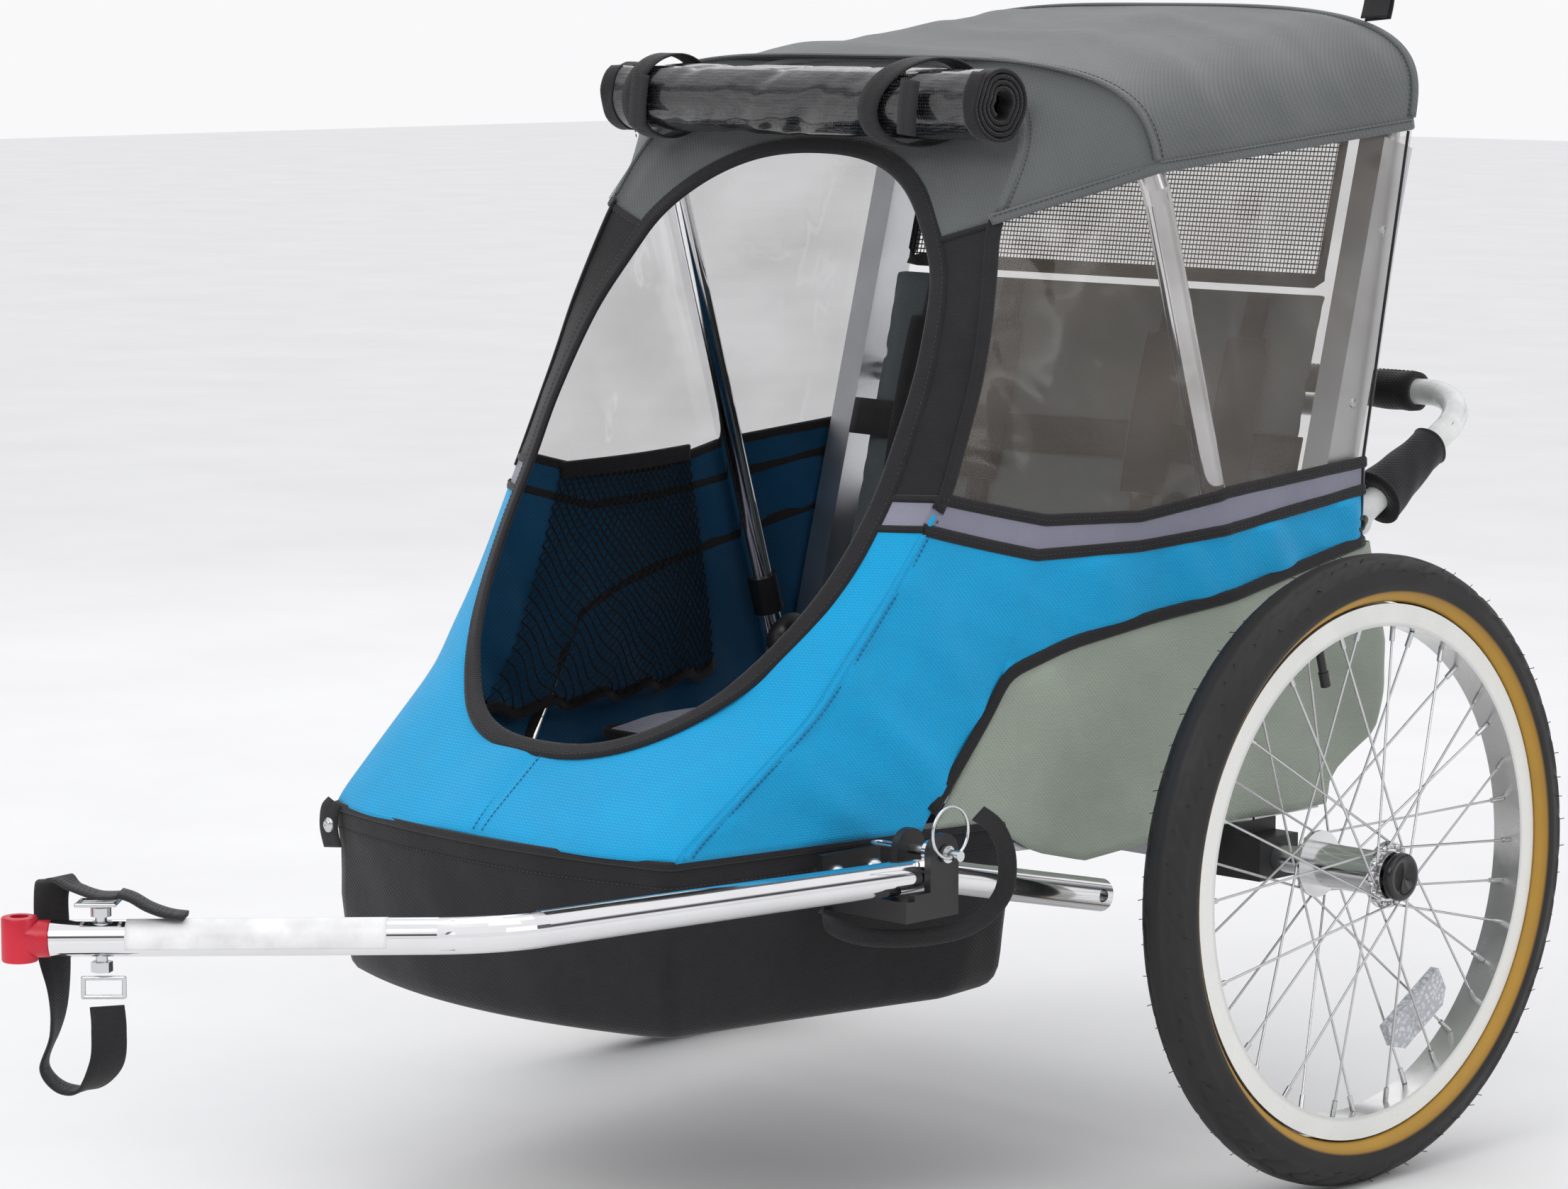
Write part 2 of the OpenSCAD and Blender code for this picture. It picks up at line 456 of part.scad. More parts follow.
// one column of the face around the front opening: v = 0 at the opening, 1 at the edge
zc = 588;
function face_in(t) = [open_hw * pw(cos(t), 2 / 2.45), zc + open_hh * pw(sin(t), 2 / 2.45)];
function face_out(t) = let (c = pw(cos(t), 2 / 9), s = pw(sin(t), 2 / 9), z = s < 0 ? zc + 284 * s : zc + 290 * s) [c * fw(z), z];
function face_p(t, v, d = 0) = let (a = face_in(t), b = face_out(t), x = lerp(a[0], b[0], v), z = lerp(a[1], b[1], v)) [x, facey(x, z) + d, z];
module face(t0, t1, n, v0 = 0, v1 = 1) {
  vs = [v0, lerp(v0, v1, 0.5), v1];
  slab([for (i = [0 : n]) [for (v = vs) face_p(lerp(t0, t1, i / n), v, cloth_t)]],
       [for (i = [0 : n]) [for (v = vs) face_p(lerp(t0, t1, i / n), v, 0)]]);
}
// side panel between two height tables
module side(s0, s1, n, lo, hi, m = 5, glo = 0, ghi = 0) {
  A = [for (i = [0 : n]) let (s = lerp(s0, s1, i / n)) [for (j = [0 : m]) side_p(s, lerp(lookup(s, lo) + glo, lookup(s, hi) - ghi, j / m))]];
  B = [for (i = [0 : n]) let (s = lerp(s0, s1, i / n)) [for (j = [0 : m]) side_p(s, lerp(lookup(s, lo) + glo, lookup(s, hi) - ghi, j / m), cloth_t)]];
  slab(A, B);
}
module lower_body() color("#1aa6dd") at_axle() {
  face(-178, -2, 60, 0, 1.004);
  both() side(-0.004, 2, 40, blue_low, strip_low, 6, 0, 0.6);
}
module opening_frame() color("#1c1c20") at_axle() {
  for (m = [0, 1]) mirror([m, 0, 0]) face(0, 33, 16, 0, 0.85);
}
module reflective_strips() color("#7c7c98") at_axle() both() side(0.02, 2, 32, strip_low, strip_top, 2, 0.4, 0.4);
module side_window() color("#6d6a68", 0.5) at_axle() side(0.03, 2, 28, strip_top, hem_low, 5, 0.6, 1);
module side_window_left() side_window();
module side_window_right() mirror([1, 0, 0]) side_window();
// roof: v = 0 front edge, 0.35 over the hoop, 1 back edge; a = 0 at the left hem, 180 at the right hem
function roof_sec(v) = v < 0.35
  ? let (k = v / 0.35) [lerp(210, cabin_hw, k), lerp(759, 798, k), lerp(880, 883, k), lerp(3, 3.6, k), lerp(-245, -134, k), lerp(-157, -160, k)]
  : let (k = (v - 0.35) / 0.65) [cabin_hw, lerp(798, 824, k), lerp(883, 922, k), lerp(3.6, 3.4, k), lerp(-134, 182, k), lerp(-160, 206, k)];
function roof_p(a, v, d = 0) = let (q = roof_sec(v), w = q[0] - d, x = w * pw(cos(a), 2 / q[3]), h = pw(sin(a), 2 / q[3]))
  [x, lerp(q[4], q[5], h), q[1] + (q[2] - d - q[1]) * h];
module roof() color("#6c6f70") at_axle() {
  na = 40; nv = 12;
  slab([for (j = [0 : nv]) [for (i = [0 : na]) roof_p(180 * i / na, j / nv)]],
       [for (j = [0 : nv]) [for (i = [0 : na]) roof_p(180 * i / na, j / nv, cloth_t)]]);
  face(36, 144, 36, 0, 1.01);
}
sage_low = [[0.41, 304.5], [0.497, 304.5], [0.576, 276], [0.655, 264], [0.9, 280], [1.4, 280], [2, 281]];
sage_top = [[0.41, 417], [0.55, 436], [0.77, 451], [1.05, 464], [2, 491]];
function sage_p(q, j, d) = q <= 2
  ? side_p(max(q, 0.418), lerp(lookup(q, sage_low), lookup(q, sage_top) - 0.8, j), d)
  : let (k = q - 2, z = lerp(281, 490.2, j), x = (cabin_hw - d) * pw(cos(k * 180), 0.5), e = sidey(z))
    [x, e + (56 - d) * pw(sin(k * 180), 0.5) * sin(30 + 120 * j) , z];
module rear_body() color("#a9b3a2") at_axle() {
  L = [for (i = [0 : 20]) lerp(0.418, 2, i / 20)];
  Q = concat(L, [for (i = [1 : 23]) 2 + i / 24]);
  A = concat([for (q = Q) [for (j = [0 : 6]) sage_p(q, j / 6, 0)]], [for (i = [20 : -1 : 0]) [for (j = [0 : 6]) let (p = sage_p(L[i], j / 6, 0)) [-p[0], p[1], p[2]]]]);
  B = concat([for (q = Q) [for (j = [0 : 6]) sage_p(q, j / 6, cloth_t)]], [for (i = [20 : -1 : 0]) [for (j = [0 : 6]) let (p = sage_p(L[i], j / 6, cloth_t)) [-p[0], p[1], p[2]]]]);
  slab(A, B);
}
module rain_cover_roll() color("#242428") at_axle() {
  difference() { xcyl(-207, 207, -228.5, 850, 63, 40); xcyl(-213, 213, -228.5, 850, 30, 32); }
}
module mesh_pocket() color("#101012") at_axle() mirror([1, 0, 0]) {
  A = [for (i = [0 : 8]) [for (j = [0 : 6]) let (s = lerp(0.3, 0.84, i / 8), z = lerp(360, 540, j / 6), b = 26 * sin(180 * i / 8) * (1 - pow(j / 6, 2) * 0.5)) side_p(s, z, 5 + b)]];
  B = [for (i = [0 : 8]) [for (j = [0 : 6]) let (s = lerp(0.3, 0.84, i / 8), z = lerp(360, 540, j / 6), b = 26 * sin(180 * i / 8) * (1 - pow(j / 6, 2) * 0.5)) side_p(s, z, 6.6 + b)]];
  slab(A, B);
}

side_rail_left();
side_rail_right();
base_crossbars();
axle_tube();
axle_blocks();
stub_axles();
fold_brackets();
fold_pins();
hitch_bracket();
frame_bolts();
footwell();
seat_bottom();
roof();
side_window_left();
side_window_right();
opening_frame();
lower_body();
rear_body();
reflective_strips();
rain_cover_roll();
mesh_pocket();
upright_left();
upright_right();
top_bow();
back_crossbar();
seat_back();
rear_mesh();
harness();
handle_brackets();
front_hoop();
hoop_sleeves();
handle_bar();
handle_grip();
hitch_arm();
strap_bolt();
strap_rings();
safety_strap();
hitch_coupler();
lock_pin();
pin_ring();
wire_clip();
pin_tether();
tyre_left();
rim_left();
spokes_left();
hub_left();
hub_bearings_left();
valve_left();
reflector_left();
push_button_left();
tyre_right();
rim_right();
spokes_right();
hub_right();
hub_bearings_right();
valve_right();
reflector_right();
push_button_right();
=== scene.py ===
import bpy, bmesh, math
import numpy as np
from mathutils import Vector, Matrix


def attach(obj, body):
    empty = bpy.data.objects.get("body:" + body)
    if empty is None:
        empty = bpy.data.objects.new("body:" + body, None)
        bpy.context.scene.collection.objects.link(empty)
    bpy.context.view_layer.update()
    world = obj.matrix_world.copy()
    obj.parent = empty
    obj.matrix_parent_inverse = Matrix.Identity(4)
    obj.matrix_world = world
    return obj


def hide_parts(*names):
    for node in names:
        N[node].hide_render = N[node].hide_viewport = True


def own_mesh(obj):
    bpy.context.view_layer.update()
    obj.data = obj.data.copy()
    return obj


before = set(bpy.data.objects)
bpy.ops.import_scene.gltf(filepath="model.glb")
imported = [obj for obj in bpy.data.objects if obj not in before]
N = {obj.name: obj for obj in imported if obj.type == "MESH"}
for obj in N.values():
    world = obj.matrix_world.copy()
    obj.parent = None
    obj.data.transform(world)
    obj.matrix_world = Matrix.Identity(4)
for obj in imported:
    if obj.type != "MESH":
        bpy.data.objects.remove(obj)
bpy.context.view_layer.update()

YC = 0.37224
sc = bpy.context.scene
pi = math.pi

# ------------------------------------------------------------------ camera
cam = bpy.data.cameras.new("cam")
cam.lens, cam.sensor_width = 110.72, 36
cam.clip_start, cam.clip_end = 0.05, 60
camo = bpy.data.objects.new("cam", cam)
sc.collection.objects.link(camo)
camo.location = (2.68032, -2.59834, 0.95001)
camo.rotation_euler = (math.radians(82.639), 0, math.radians(44.631))
sc.camera = camo

# ------------------------------------------------------------------ shapes
def tab(z, T):
    return np.interp(z, [t[0] for t in T], [t[1] for t in T])
FW = [[303, 190], [400, 208], [480, 222], [560, 235], [640, 231], [680, 227], [720, 219], [757, 210], [820, 205], [880, 189]]
FE = [[303, -567], [400, -440], [440, -409], [480, -378], [560, -324], [640, -287], [720, -258], [757, -245], [800, -216], [880, -156]]
FB = [[303, 25], [480, 45], [600, 45], [640, 38], [680, 25], [720, 8], [880, 5]]
SY = [[262, 72], [298, 76], [328, 117], [360, 130], [405, 132], [500, 125], [560, 127], [823, 182]]
STRIP_TOP = [[0, 557], [0.4, 534], [0.72, 531], [1.05, 544], [2, 556]]
STRIP_LOW = [[0, 535], [0.4, 508], [0.72, 508], [1.05, 516], [2, 534]]
BLUE_LOW = [[0, 304], [0.39, 304], [0.41, 418], [0.55, 437], [0.77, 452], [1.05, 465], [2, 492]]
HEM_LOW = [[0, 759], [0.35, 776], [0.7, 790], [1, 798], [1.4, 802], [2, 824]]
SAGE_LOW = [[0.41, 304.5], [0.497, 304.5], [0.576, 276], [0.655, 264], [0.9, 280], [1.4, 280], [2, 281]]
SAGE_TOP = [[0.41, 417], [0.55, 436], [0.77, 451], [1.05, 464], [2, 491]]
HW = 284.0
ZC = 588.0

def sm(T, x):
    """The table's value, rounded off at its corners."""
    return sum(tab(x + d, T) * w for d, w in ((-0.03, 1), (-0.015, 2), (0, 3), (0.015, 2), (0.03, 1))) / 9
def smz(T, z):
    return sum(tab(z + d, T) * w for d, w in ((-16, 1), (-8, 2), (0, 3), (8, 2), (16, 1))) / 9
def pw(v, n):
    return np.sign(v) * np.abs(v) ** n
def upy(z): return -60.4 + 0.263 * z
def hoopy(z): return 113.35 - 0.297 * z
def facey(x, z):
    return smz(FE, z) - smz(FB, z) * (1 - np.minimum(1, np.abs(x) / tab(z, FW)) ** 4)
def side_p(s, z, d=0.0):
    s, z = np.broadcast_arrays(np.asarray(s, float), np.asarray(z, float))
    k = np.clip(s, 0, 1)
    x = np.where(s <= 1, smz(FW, z) * (1 - k) + HW * k, HW) - d
    y1 = smz(FE, z) * (1 - k) + (hoopy(z) - 8) * k
    y2 = (hoopy(z) - 8) * (2 - s) + tab(z, SY) * (s - 1)
    return np.stack([x, np.where(s <= 1, y1, y2), z], -1)
def face_in(t):
    return 194 * pw(np.cos(t), 2 / 2.45), ZC + 222 * pw(np.sin(t), 2 / 2.45)
T_A, T_C, T_B = -9.96, -5.15, 40.0
def face_p(t, v):
    t, v = np.broadcast_arrays(np.asarray(t, float), np.asarray(v, float))
    xi, zi = face_in(t)
    d = np.degrees(t); d = (d + 180) % 360 - 180
    sg = np.where(np.abs(d) > 90, -1.0, 1.0)
    a = np.where(np.abs(d) > 90, np.sign(d) * 180 - d, d)
    # outer edge: along the tray, up the corner, up the opening's side, then round the roof's front edge
    z2 = 304 + (535 - 304) * (a + 48) / (T_A + 48)
    z3 = np.where(a < T_C, 535 + 22 * (a - T_A) / (T_C - T_A), 557 + (759 - 557) * (a - T_C) / (T_B - T_C))
    b = np.radians(np.clip((a - T_B) / (90 - T_B), 0, 1) * 90); h = np.abs(np.sin(b)) ** (2 / 3)
    zo = np.where(a < -48, 304.0, np.where(a < T_A, z2, np.where(a < T_B, z3, 759 + 121 * h)))
    xo = np.where(a < -48, 190 * (a + 90) / 42, np.where(a < T_B, smz(FW, zo), 210 * np.abs(np.cos(b)) ** (2 / 3))) * sg
    x, z = xi + (xo - xi) * v, zi + (zo - zi) * v
    y = facey(x, z)
    k = np.where(a > T_B, np.clip((v - 0.6) / 0.4, 0, 1) ** 2, 0)
    return np.stack([x, y * (1 - k) + (-245 + 88 * h) * k, z], -1)
def roof_sec(v):
    k = np.clip(v / 0.35, 0, 1); q = np.clip((v - 0.35) / 0.65, 0, 1)
    f = v < 0.35
    L = lambda a, b, c: np.where(f, a + (b - a) * k, b + (c - b) * q)
    return L(210, HW, HW), L(759, 798, 824), L(880, 883, 922), L(3, 3.6, 3.4), L(-245, -134, 182), L(-157, -160, 206)
def roof_p(a, v):
    a, v = np.broadcast_arrays(np.asarray(a, float), np.asarray(v, float))
    w, z0, z1, n, y0, y1 = roof_sec(v)
    x = w * pw(np.cos(a), 2 / n); h = np.abs(np.sin(a)) ** (2 / n)
    return np.stack([x, y0 + (y1 - y0) * h, z0 + (z1 - z0) * h], -1)
def sage_p(q, j):
    q = np.asarray(q, float); j = np.asarray(j, float)
    q, j = np.broadcast_arrays(q, j)
    a = side_p(np.clip(q, 0.412, 2), tab(np.clip(q, 0.41, 2), SAGE_LOW) * (1 - j) + (tab(np.clip(q, 0.41, 2), SAGE_TOP) - 0.8) * j)
    k = np.clip(q - 2, 0, 1); z = 281 + (490.2 - 281) * j
    b = np.stack([HW * pw(np.cos(k * pi), 0.5), tab(z, SY) + 56 * np.abs(np.sin(k * pi)) ** 0.5 * np.sin(np.radians(30 + 120 * j)), z], -1)
    return np.where((q <= 2)[..., None], a, b)

# ------------------------------------------------------------------ mesh helpers
def build(name, P, F, mats, idx=None, smooth=True, mm=True, fix=True):
    me = bpy.data.meshes.new(name)
    P = np.asarray(P, float)
    if mm:
        P = P / 1000.0 + np.array([0, YC, 0])
    me.from_pydata([tuple(p) for p in P], [], [tuple(f) for f in F])
    for m in (mats if isinstance(mats, (list, tuple)) else [mats]):
        me.materials.append(m)
    if idx is not None:
        me.polygons.foreach_set("material_index", np.asarray(idx, np.int32))
    if fix:
        bm = bmesh.new(); bm.from_mesh(me)
        bmesh.ops.recalc_face_normals(bm, faces=bm.faces)
        bm.to_mesh(me); bm.free()
    me.polygons.foreach_set("use_smooth", np.full(len(me.polygons), smooth))
    me.update()
    o = bpy.data.objects.new(name, me)
    sc.collection.objects.link(o)
    return o

def normals(G):
    du = np.gradient(G, axis=0); dv = np.gradient(G, axis=1)
    n = np.cross(du, dv)
    n /= np.maximum(np.linalg.norm(n, axis=-1, keepdims=True), 1e-9)
    c = np.array([0, -150, 560.0])
    if np.sum((G - c) * n) < 0:
        n = -n
    return n

def folds(G, comps):
    """Smooth creases: each comp is (direction, wavelength, height, sharpness, seed)."""
    d = np.zeros(G.shape[:-1])
    for k, (v, wl, amp, sh, seed) in enumerate(comps):
        v = np.array(v, float); v /= np.linalg.norm(v)
        x = G @ v
        warp = 0.9 * np.sin(G[..., 2] / 61.0 + seed) + 0.7 * np.sin(G[..., 1] / 83.0 + 2.1 * seed) + 0.5 * np.sin(G[..., 0] / 47.0 + 3.7 * seed)
        env = 0.5 + 0.5 * np.sin(G[..., 1] / 71.0 + 1.3 * seed + 0.8 * np.sin(G[..., 2] / 90.0 + seed))
        r = 0.5 + 0.5 * np.sin(2 * pi * x / wl + warp + seed)
        d += amp * (r ** sh - 0.35) * (0.3 + 0.7 * env)
    return d

def edge_mask(shape, w=(0.05, 0.05, 0.05, 0.05)):
    u = np.linspace(0, 1, shape[0])[:, None]; v = np.linspace(0, 1, shape[1])[None, :]
    m = np.ones(shape)
    for d, k in ((u, w[0]), (1 - u, w[1]), (v, w[2]), (1 - v, w[3])):
        if k > 0:
            e = np.clip(d / k, 0, 1); m = m * (e * e * (3 - 2 * e))
    return m

PIECES = {}
def cloth(name, G, mats, thick=1.6, wr=None, mask=None, mirror=False, lift=0.0):
    """A sheet of fabric with thickness: mats[0] outside, mats[1] inside."""
    G = np.array(G, float)
    n = normals(G)
    if wr is not None:
        d = folds(G, wr)
        G = G + n * (d * (edge_mask(G.shape[:2]) if mask is None else mask))[..., None]
        n = normals(G)
    G = G + n * lift
    H = G - n * thick
    if mirror:
        G = G * [-1, 1, 1]; H = H * [-1, 1, 1]
    r, c = G.shape[:2]; m = r * c
    P = np.concatenate([G.reshape(-1, 3), H.reshape(-1, 3)])
    F, I = [], []
    for i in range(r - 1):
        for j in range(c - 1):
            a = i * c + j
            F.append((a, a + 1, a + c + 1, a + c)); I.append(0)
            F.append((m + a, m + a + c, m + a + c + 1, m + a + 1)); I.append(1)
    rim = [i * c for i in range(r)] + [(r - 1) * c + j for j in range(1, c)] + [i * c + c - 1 for i in range(r - 2, -1, -1)] + [j for j in range(c - 2, 0, -1)]
    for k in range(len(rim)):
        a, b = rim[k], rim[(k + 1) % len(rim)]
        F.append((a, b, m + b, m + a)); I.append(0)
    o = build(name, P, F, mats if len(mats) > 1 else [mats[0], mats[0]], I)
    return o

def frames(P, W, closed):
    P = np.asarray(P, float); W = np.asarray(W, float)
    if closed:
        t = np.roll(P, -1, 0) - np.roll(P, 1, 0)
    else:
        t = np.gradient(P, axis=0)
    t /= np.maximum(np.linalg.norm(t, axis=1, keepdims=True), 1e-9)
    W = W - t * np.sum(W * t, 1, keepdims=True)
    W /= np.maximum(np.linalg.norm(W, axis=1, keepdims=True), 1e-9)
    return P, t, W, np.cross(t, W)

def rrect(b, h, r=None):
    r = min(b, h) * 0.42 if r is None else r
    return [(-b / 2, -h / 2 + r), (-b / 2 + r, -h / 2), (-b / 6, -h / 2), (b / 6, -h / 2), (b / 2 - r, -h / 2), (b / 2, -h / 2 + r),
            (b / 2, h / 2 - r), (b / 2 - r, h / 2), (b / 6, h / 2), (-b / 6, h / 2), (-b / 2 + r, h / 2), (-b / 2, h / 2 - r)]

def sweep_data(P, W, prof, closed=False, mirror=False):
    P, t, W, Nn = frames(P, W, closed)
    prof = prof if callable(prof) else (lambda i, p=prof: p)
    rows = [[P[i] + W[i] * w + Nn[i] * h for (w, h) in prof(i)] for i in range(len(P))]
    k = len(rows[0]); n = len(rows)
    V_ = np.array(rows).reshape(-1, 3)
    if mirror:
        V_ = V_ * [-1, 1, 1]
    F = []
    for i in range(n if closed else n - 1):
        i2 = (i + 1) % n
        for j in range(k):
            F.append((i * k + j, i * k + (j + 1) % k, i2 * k + (j + 1) % k, i2 * k + j))
    if not closed:
        F.append(tuple(range(k - 1, -1, -1)))
        F.append(tuple((n - 1) * k + j for j in range(k)))
    return V_, F

def sweep(name, P, W, prof, mat, closed=False, mirror=False, smooth=True):
    V_, F = sweep_data(P, W, prof, closed, mirror)
    return build(name, V_, F, mat, smooth=smooth)

def join(name, parts, mats, smooth=True, idx=None):
    """parts: list of (verts, faces[, material index])."""
    P, F, I, k = [], [], [], 0
    for p in parts:
        v, f = p[0], p[1]
        P.append(np.asarray(v, float)); F += [tuple(int(a) + k for a in q) for q in f]
        I += [p[2] if len(p) > 2 else 0] * len(f); k += len(v)
    return build(name, np.concatenate(P), F, mats, I, smooth)

def circle(d, n=20):
    return [(d / 2 * math.cos(2 * pi * i / n), d / 2 * math.sin(2 * pi * i / n)) for i in range(n)]

def resample(P, step):
    P = np.asarray(P, float)
    L = np.concatenate([[0], np.cumsum(np.linalg.norm(np.diff(P, axis=0), axis=1))])
    n = max(2, int(L[-1] / step) + 1)
    x = np.linspace(0, L[-1], n)
    return np.stack([np.interp(x, L, P[:, i]) for i in range(3)], 1)

def catmull(P, m):
    P = np.asarray(P, float); out = []
    for i in range(len(P) - 1):
        a, b, c, d = P[max(0, i - 1)], P[i], P[i + 1], P[min(len(P) - 1, i + 2)]
        for k in range(m):
            t = k / m
            out.append(0.5 * (2 * b + (c - a) * t + (2 * a - 5 * b + 4 * c - d) * t * t + (3 * b - a - 3 * c + d) * t ** 3))
    out.append(P[-1])
    return np.array(out)

def stitch_data(P, Nrm, pitch=4.2, length=2.9, w=0.75, h=0.55, mirror=False):
    """A row of thread stitches along P, lying on the surface with normal Nrm."""
    P = np.asarray(P, float); Nrm = np.asarray(Nrm, float)
    L = np.concatenate([[0], np.cumsum(np.linalg.norm(np.diff(P, axis=0), axis=1))])
    V_, F = [], []
    for s in np.arange(pitch / 2, L[-1] - pitch / 2, pitch):
        p = np.array([np.interp(s, L, P[:, i]) for i in range(3)])
        q = np.array([np.interp(s + 0.5, L, P[:, i]) for i in range(3)])
        nn = np.array([np.interp(s, L, Nrm[:, i]) for i in range(3)]); nn /= max(np.linalg.norm(nn), 1e-9)
        t = q - p; t /= max(np.linalg.norm(t), 1e-9)
        b = np.cross(nn, t)
        k = len(V_)
        for e, sc_ in ((-0.5, 0.45), (-0.25, 1), (0.25, 1), (0.5, 0.45)):
            for (x, y) in ((-0.5, -0.6), (0.5, -0.6), (0.5, 0.5 * sc_), (-0.5, 0.5 * sc_)):
                V_.append(p + t * length * e + b * w * x * sc_ + nn * h * y)
        for r in range(3):
            for j in range(4):
                F.append((k + r * 4 + j, k + r * 4 + (j + 1) % 4, k + r * 4 + 4 + (j + 1) % 4, k + r * 4 + 4 + j))
        F.append((k + 3, k + 2, k + 1, k)); F.append((k + 12, k + 13, k + 14, k + 15))
    V_ = np.array(V_)
    if mirror:
        V_ = V_ * [-1, 1, 1]
    return V_, F

def surf_path(fn, A, B, eps=1e-3):
    """Points of surface fn(a, b) along arrays A, B."""
    A = np.asarray(A, float); B = np.asarray(B, float)
    P = fn(A, B)
    return P

def lathe_data(prof, n=64, axis=(1, 0, 0), origin=(0, 0, 0), cap=False, closed=True):
    """prof: (along axis, radius) points, closed loop by default."""
    ax = np.array(axis, float); ax /= np.linalg.norm(ax)
    u = np.cross(ax, [0, 0, 1.0]) if abs(ax[2]) < 0.9 else np.cross(ax, [1.0, 0, 0])
    u /= np.linalg.norm(u); v = np.cross(ax, u)
    V_, F = [], []
    k = len(prof)
    for i in range(n):
        a = 2 * pi * i / n
        e = u * math.cos(a) + v * math.sin(a)
        for (z, r) in prof:
            V_.append(np.array(origin, float) + ax * z + e * r)
    for i in range(n):
        i2 = (i + 1) % n
        for j in range(k if closed else k - 1):
            j2 = (j + 1) % k
            F.append((i * k + j, i2 * k + j, i2 * k + j2, i * k + j2))
    return np.array(V_), F

# ------------------------------------------------------------------ materials
def nt_new(name):
    m = bpy.data.materials.new(name); m.use_nodes = True
    t = m.node_tree
    b = next(n for n in t.nodes if n.type == "BSDF_PRINCIPLED")
    return m, t, b
def node(t, kind, **kw):
    n = t.nodes.new(kind)
    for k, v in kw.items():
        setattr(n, k, v)
    return n
def mapped(t, scale, rot=(0, 0, 0)):
    c = node(t, "ShaderNodeTexCoord"); mp = node(t, "ShaderNodeMapping")
    mp.inputs["Scale"].default_value = scale if isinstance(scale, tuple) else (scale,) * 3
    mp.inputs["Rotation"].default_value = rot
    t.links.new(c.outputs["Object"], mp.inputs["Vector"])
    return mp.outputs["Vector"]
def noise(t, vec, scale, detail=3, rough=0.55):
    n = node(t, "ShaderNodeTexNoise")
    n.inputs["Scale"].default_value = scale; n.inputs["Detail"].default_value = detail; n.inputs["Roughness"].default_value = rough
    t.links.new(vec, n.inputs["Vector"])
    return n.outputs["Fac"]
def ramp(t, fac, stops):
    r = node(t, "ShaderNodeValToRGB"); e = r.color_ramp.elements
    while len(e) < len(stops): e.new(0.5)
    for k, (p, c) in enumerate(stops):
        e[k].position = p; e[k].color = (c[0], c[1], c[2], 1) if hasattr(c, "__len__") else (c, c, c, 1)
    t.links.new(fac, r.inputs["Fac"])
    return r.outputs["Color"]
def mathn(t, op, a, b=None, c=None):
    n = node(t, "ShaderNodeMath", operation=op)
    for k, v in enumerate((a, b, c)):
        if v is None: continue
        if isinstance(v, (int, float)): n.inputs[k].default_value = v
        else: t.links.new(v, n.inputs[k])
    return n.outputs[0]
def mixc(t, fac, a, b, mode="MIX"):
    n = node(t, "ShaderNodeMix", data_type="RGBA", blend_type=mode)
    for s, v in ((0, fac), (6, a), (7, b)):
        if isinstance(v, (int, float)): n.inputs[s].default_value = v
        elif isinstance(v, tuple): n.inputs[s].default_value = (*v[:3], 1)
        else: t.links.new(v, n.inputs[s])
    return n.outputs[2]
def bump(t, b, height, strength, dist, prev=None):
    n = node(t, "ShaderNodeBump")
    n.inputs["Strength"].default_value = strength; n.inputs["Distance"].default_value = dist
    t.links.new(height, n.inputs["Height"])
    if prev is not None: t.links.new(prev, n.inputs["Normal"])
    t.links.new(n.outputs["Normal"], b.inputs["Normal"])
    return n.outputs["Normal"]
def weave(t, scale, diag=False):
    vec = mapped(t, 1.0, (0.0, 0.0, 0.0) if not diag else (0.6, 0.0, 0.6))
    w1 = node(t, "ShaderNodeTexWave", wave_type="BANDS", bands_direction="DIAGONAL"); w1.inputs["Scale"].default_value = scale
    w2 = node(t, "ShaderNodeTexWave", wave_type="BANDS", bands_direction="Z"); w2.inputs["Scale"].default_value = scale * 1.1
    for w in (w1, w2):
        w.inputs["Distortion"].default_value = 0.4; w.inputs["Detail"].default_value = 1
        t.links.new(vec, w.inputs["Vector"])
    return mathn(t, "MULTIPLY", w1.outputs["Fac"], w2.outputs["Fac"])
def fabric(name, col, scale=170, rough=0.82, sheen=0.25, var=0.16, bmp=0.5, dirt=0.06, twill=False, spec=0.35):
    m, t, b = nt_new(name)
    v = mapped(t, 1.0)
    big = noise(t, v, 7, 3); mid = noise(t, v, 60, 4); wv = weave(t, scale, twill)
    lo = tuple(max(0, c * (1 - var)) for c in col); hi = tuple(min(1, c * (1 + var * 0.7)) for c in col)
    c1 = ramp(t, big, [(0.3, lo), (0.7, hi)])
    c2 = mixc(t, 0.5, c1, ramp(t, mid, [(0.3, 1 - dirt * 2), (0.75, 1.0)]), "MULTIPLY")
    c3 = mixc(t, 0.55, c2, ramp(t, wv, [(0.0, 0.72), (0.6, 1.0)]), "MULTIPLY")
    t.links.new(c3, b.inputs["Base Color"])
    t.links.new(ramp(t, mid, [(0.2, rough - 0.07), (0.8, min(1, rough + 0.07))]), b.inputs["Roughness"])
    b.inputs["Sheen Weight"].default_value = sheen
    b.inputs["Sheen Roughness"].default_value = 0.45
    b.inputs["Specular IOR Level"].default_value = spec
    n1 = bump(t, b, wv, bmp, 0.0006)
    bump(t, b, mid, 0.22, 0.0016, n1)
    return m
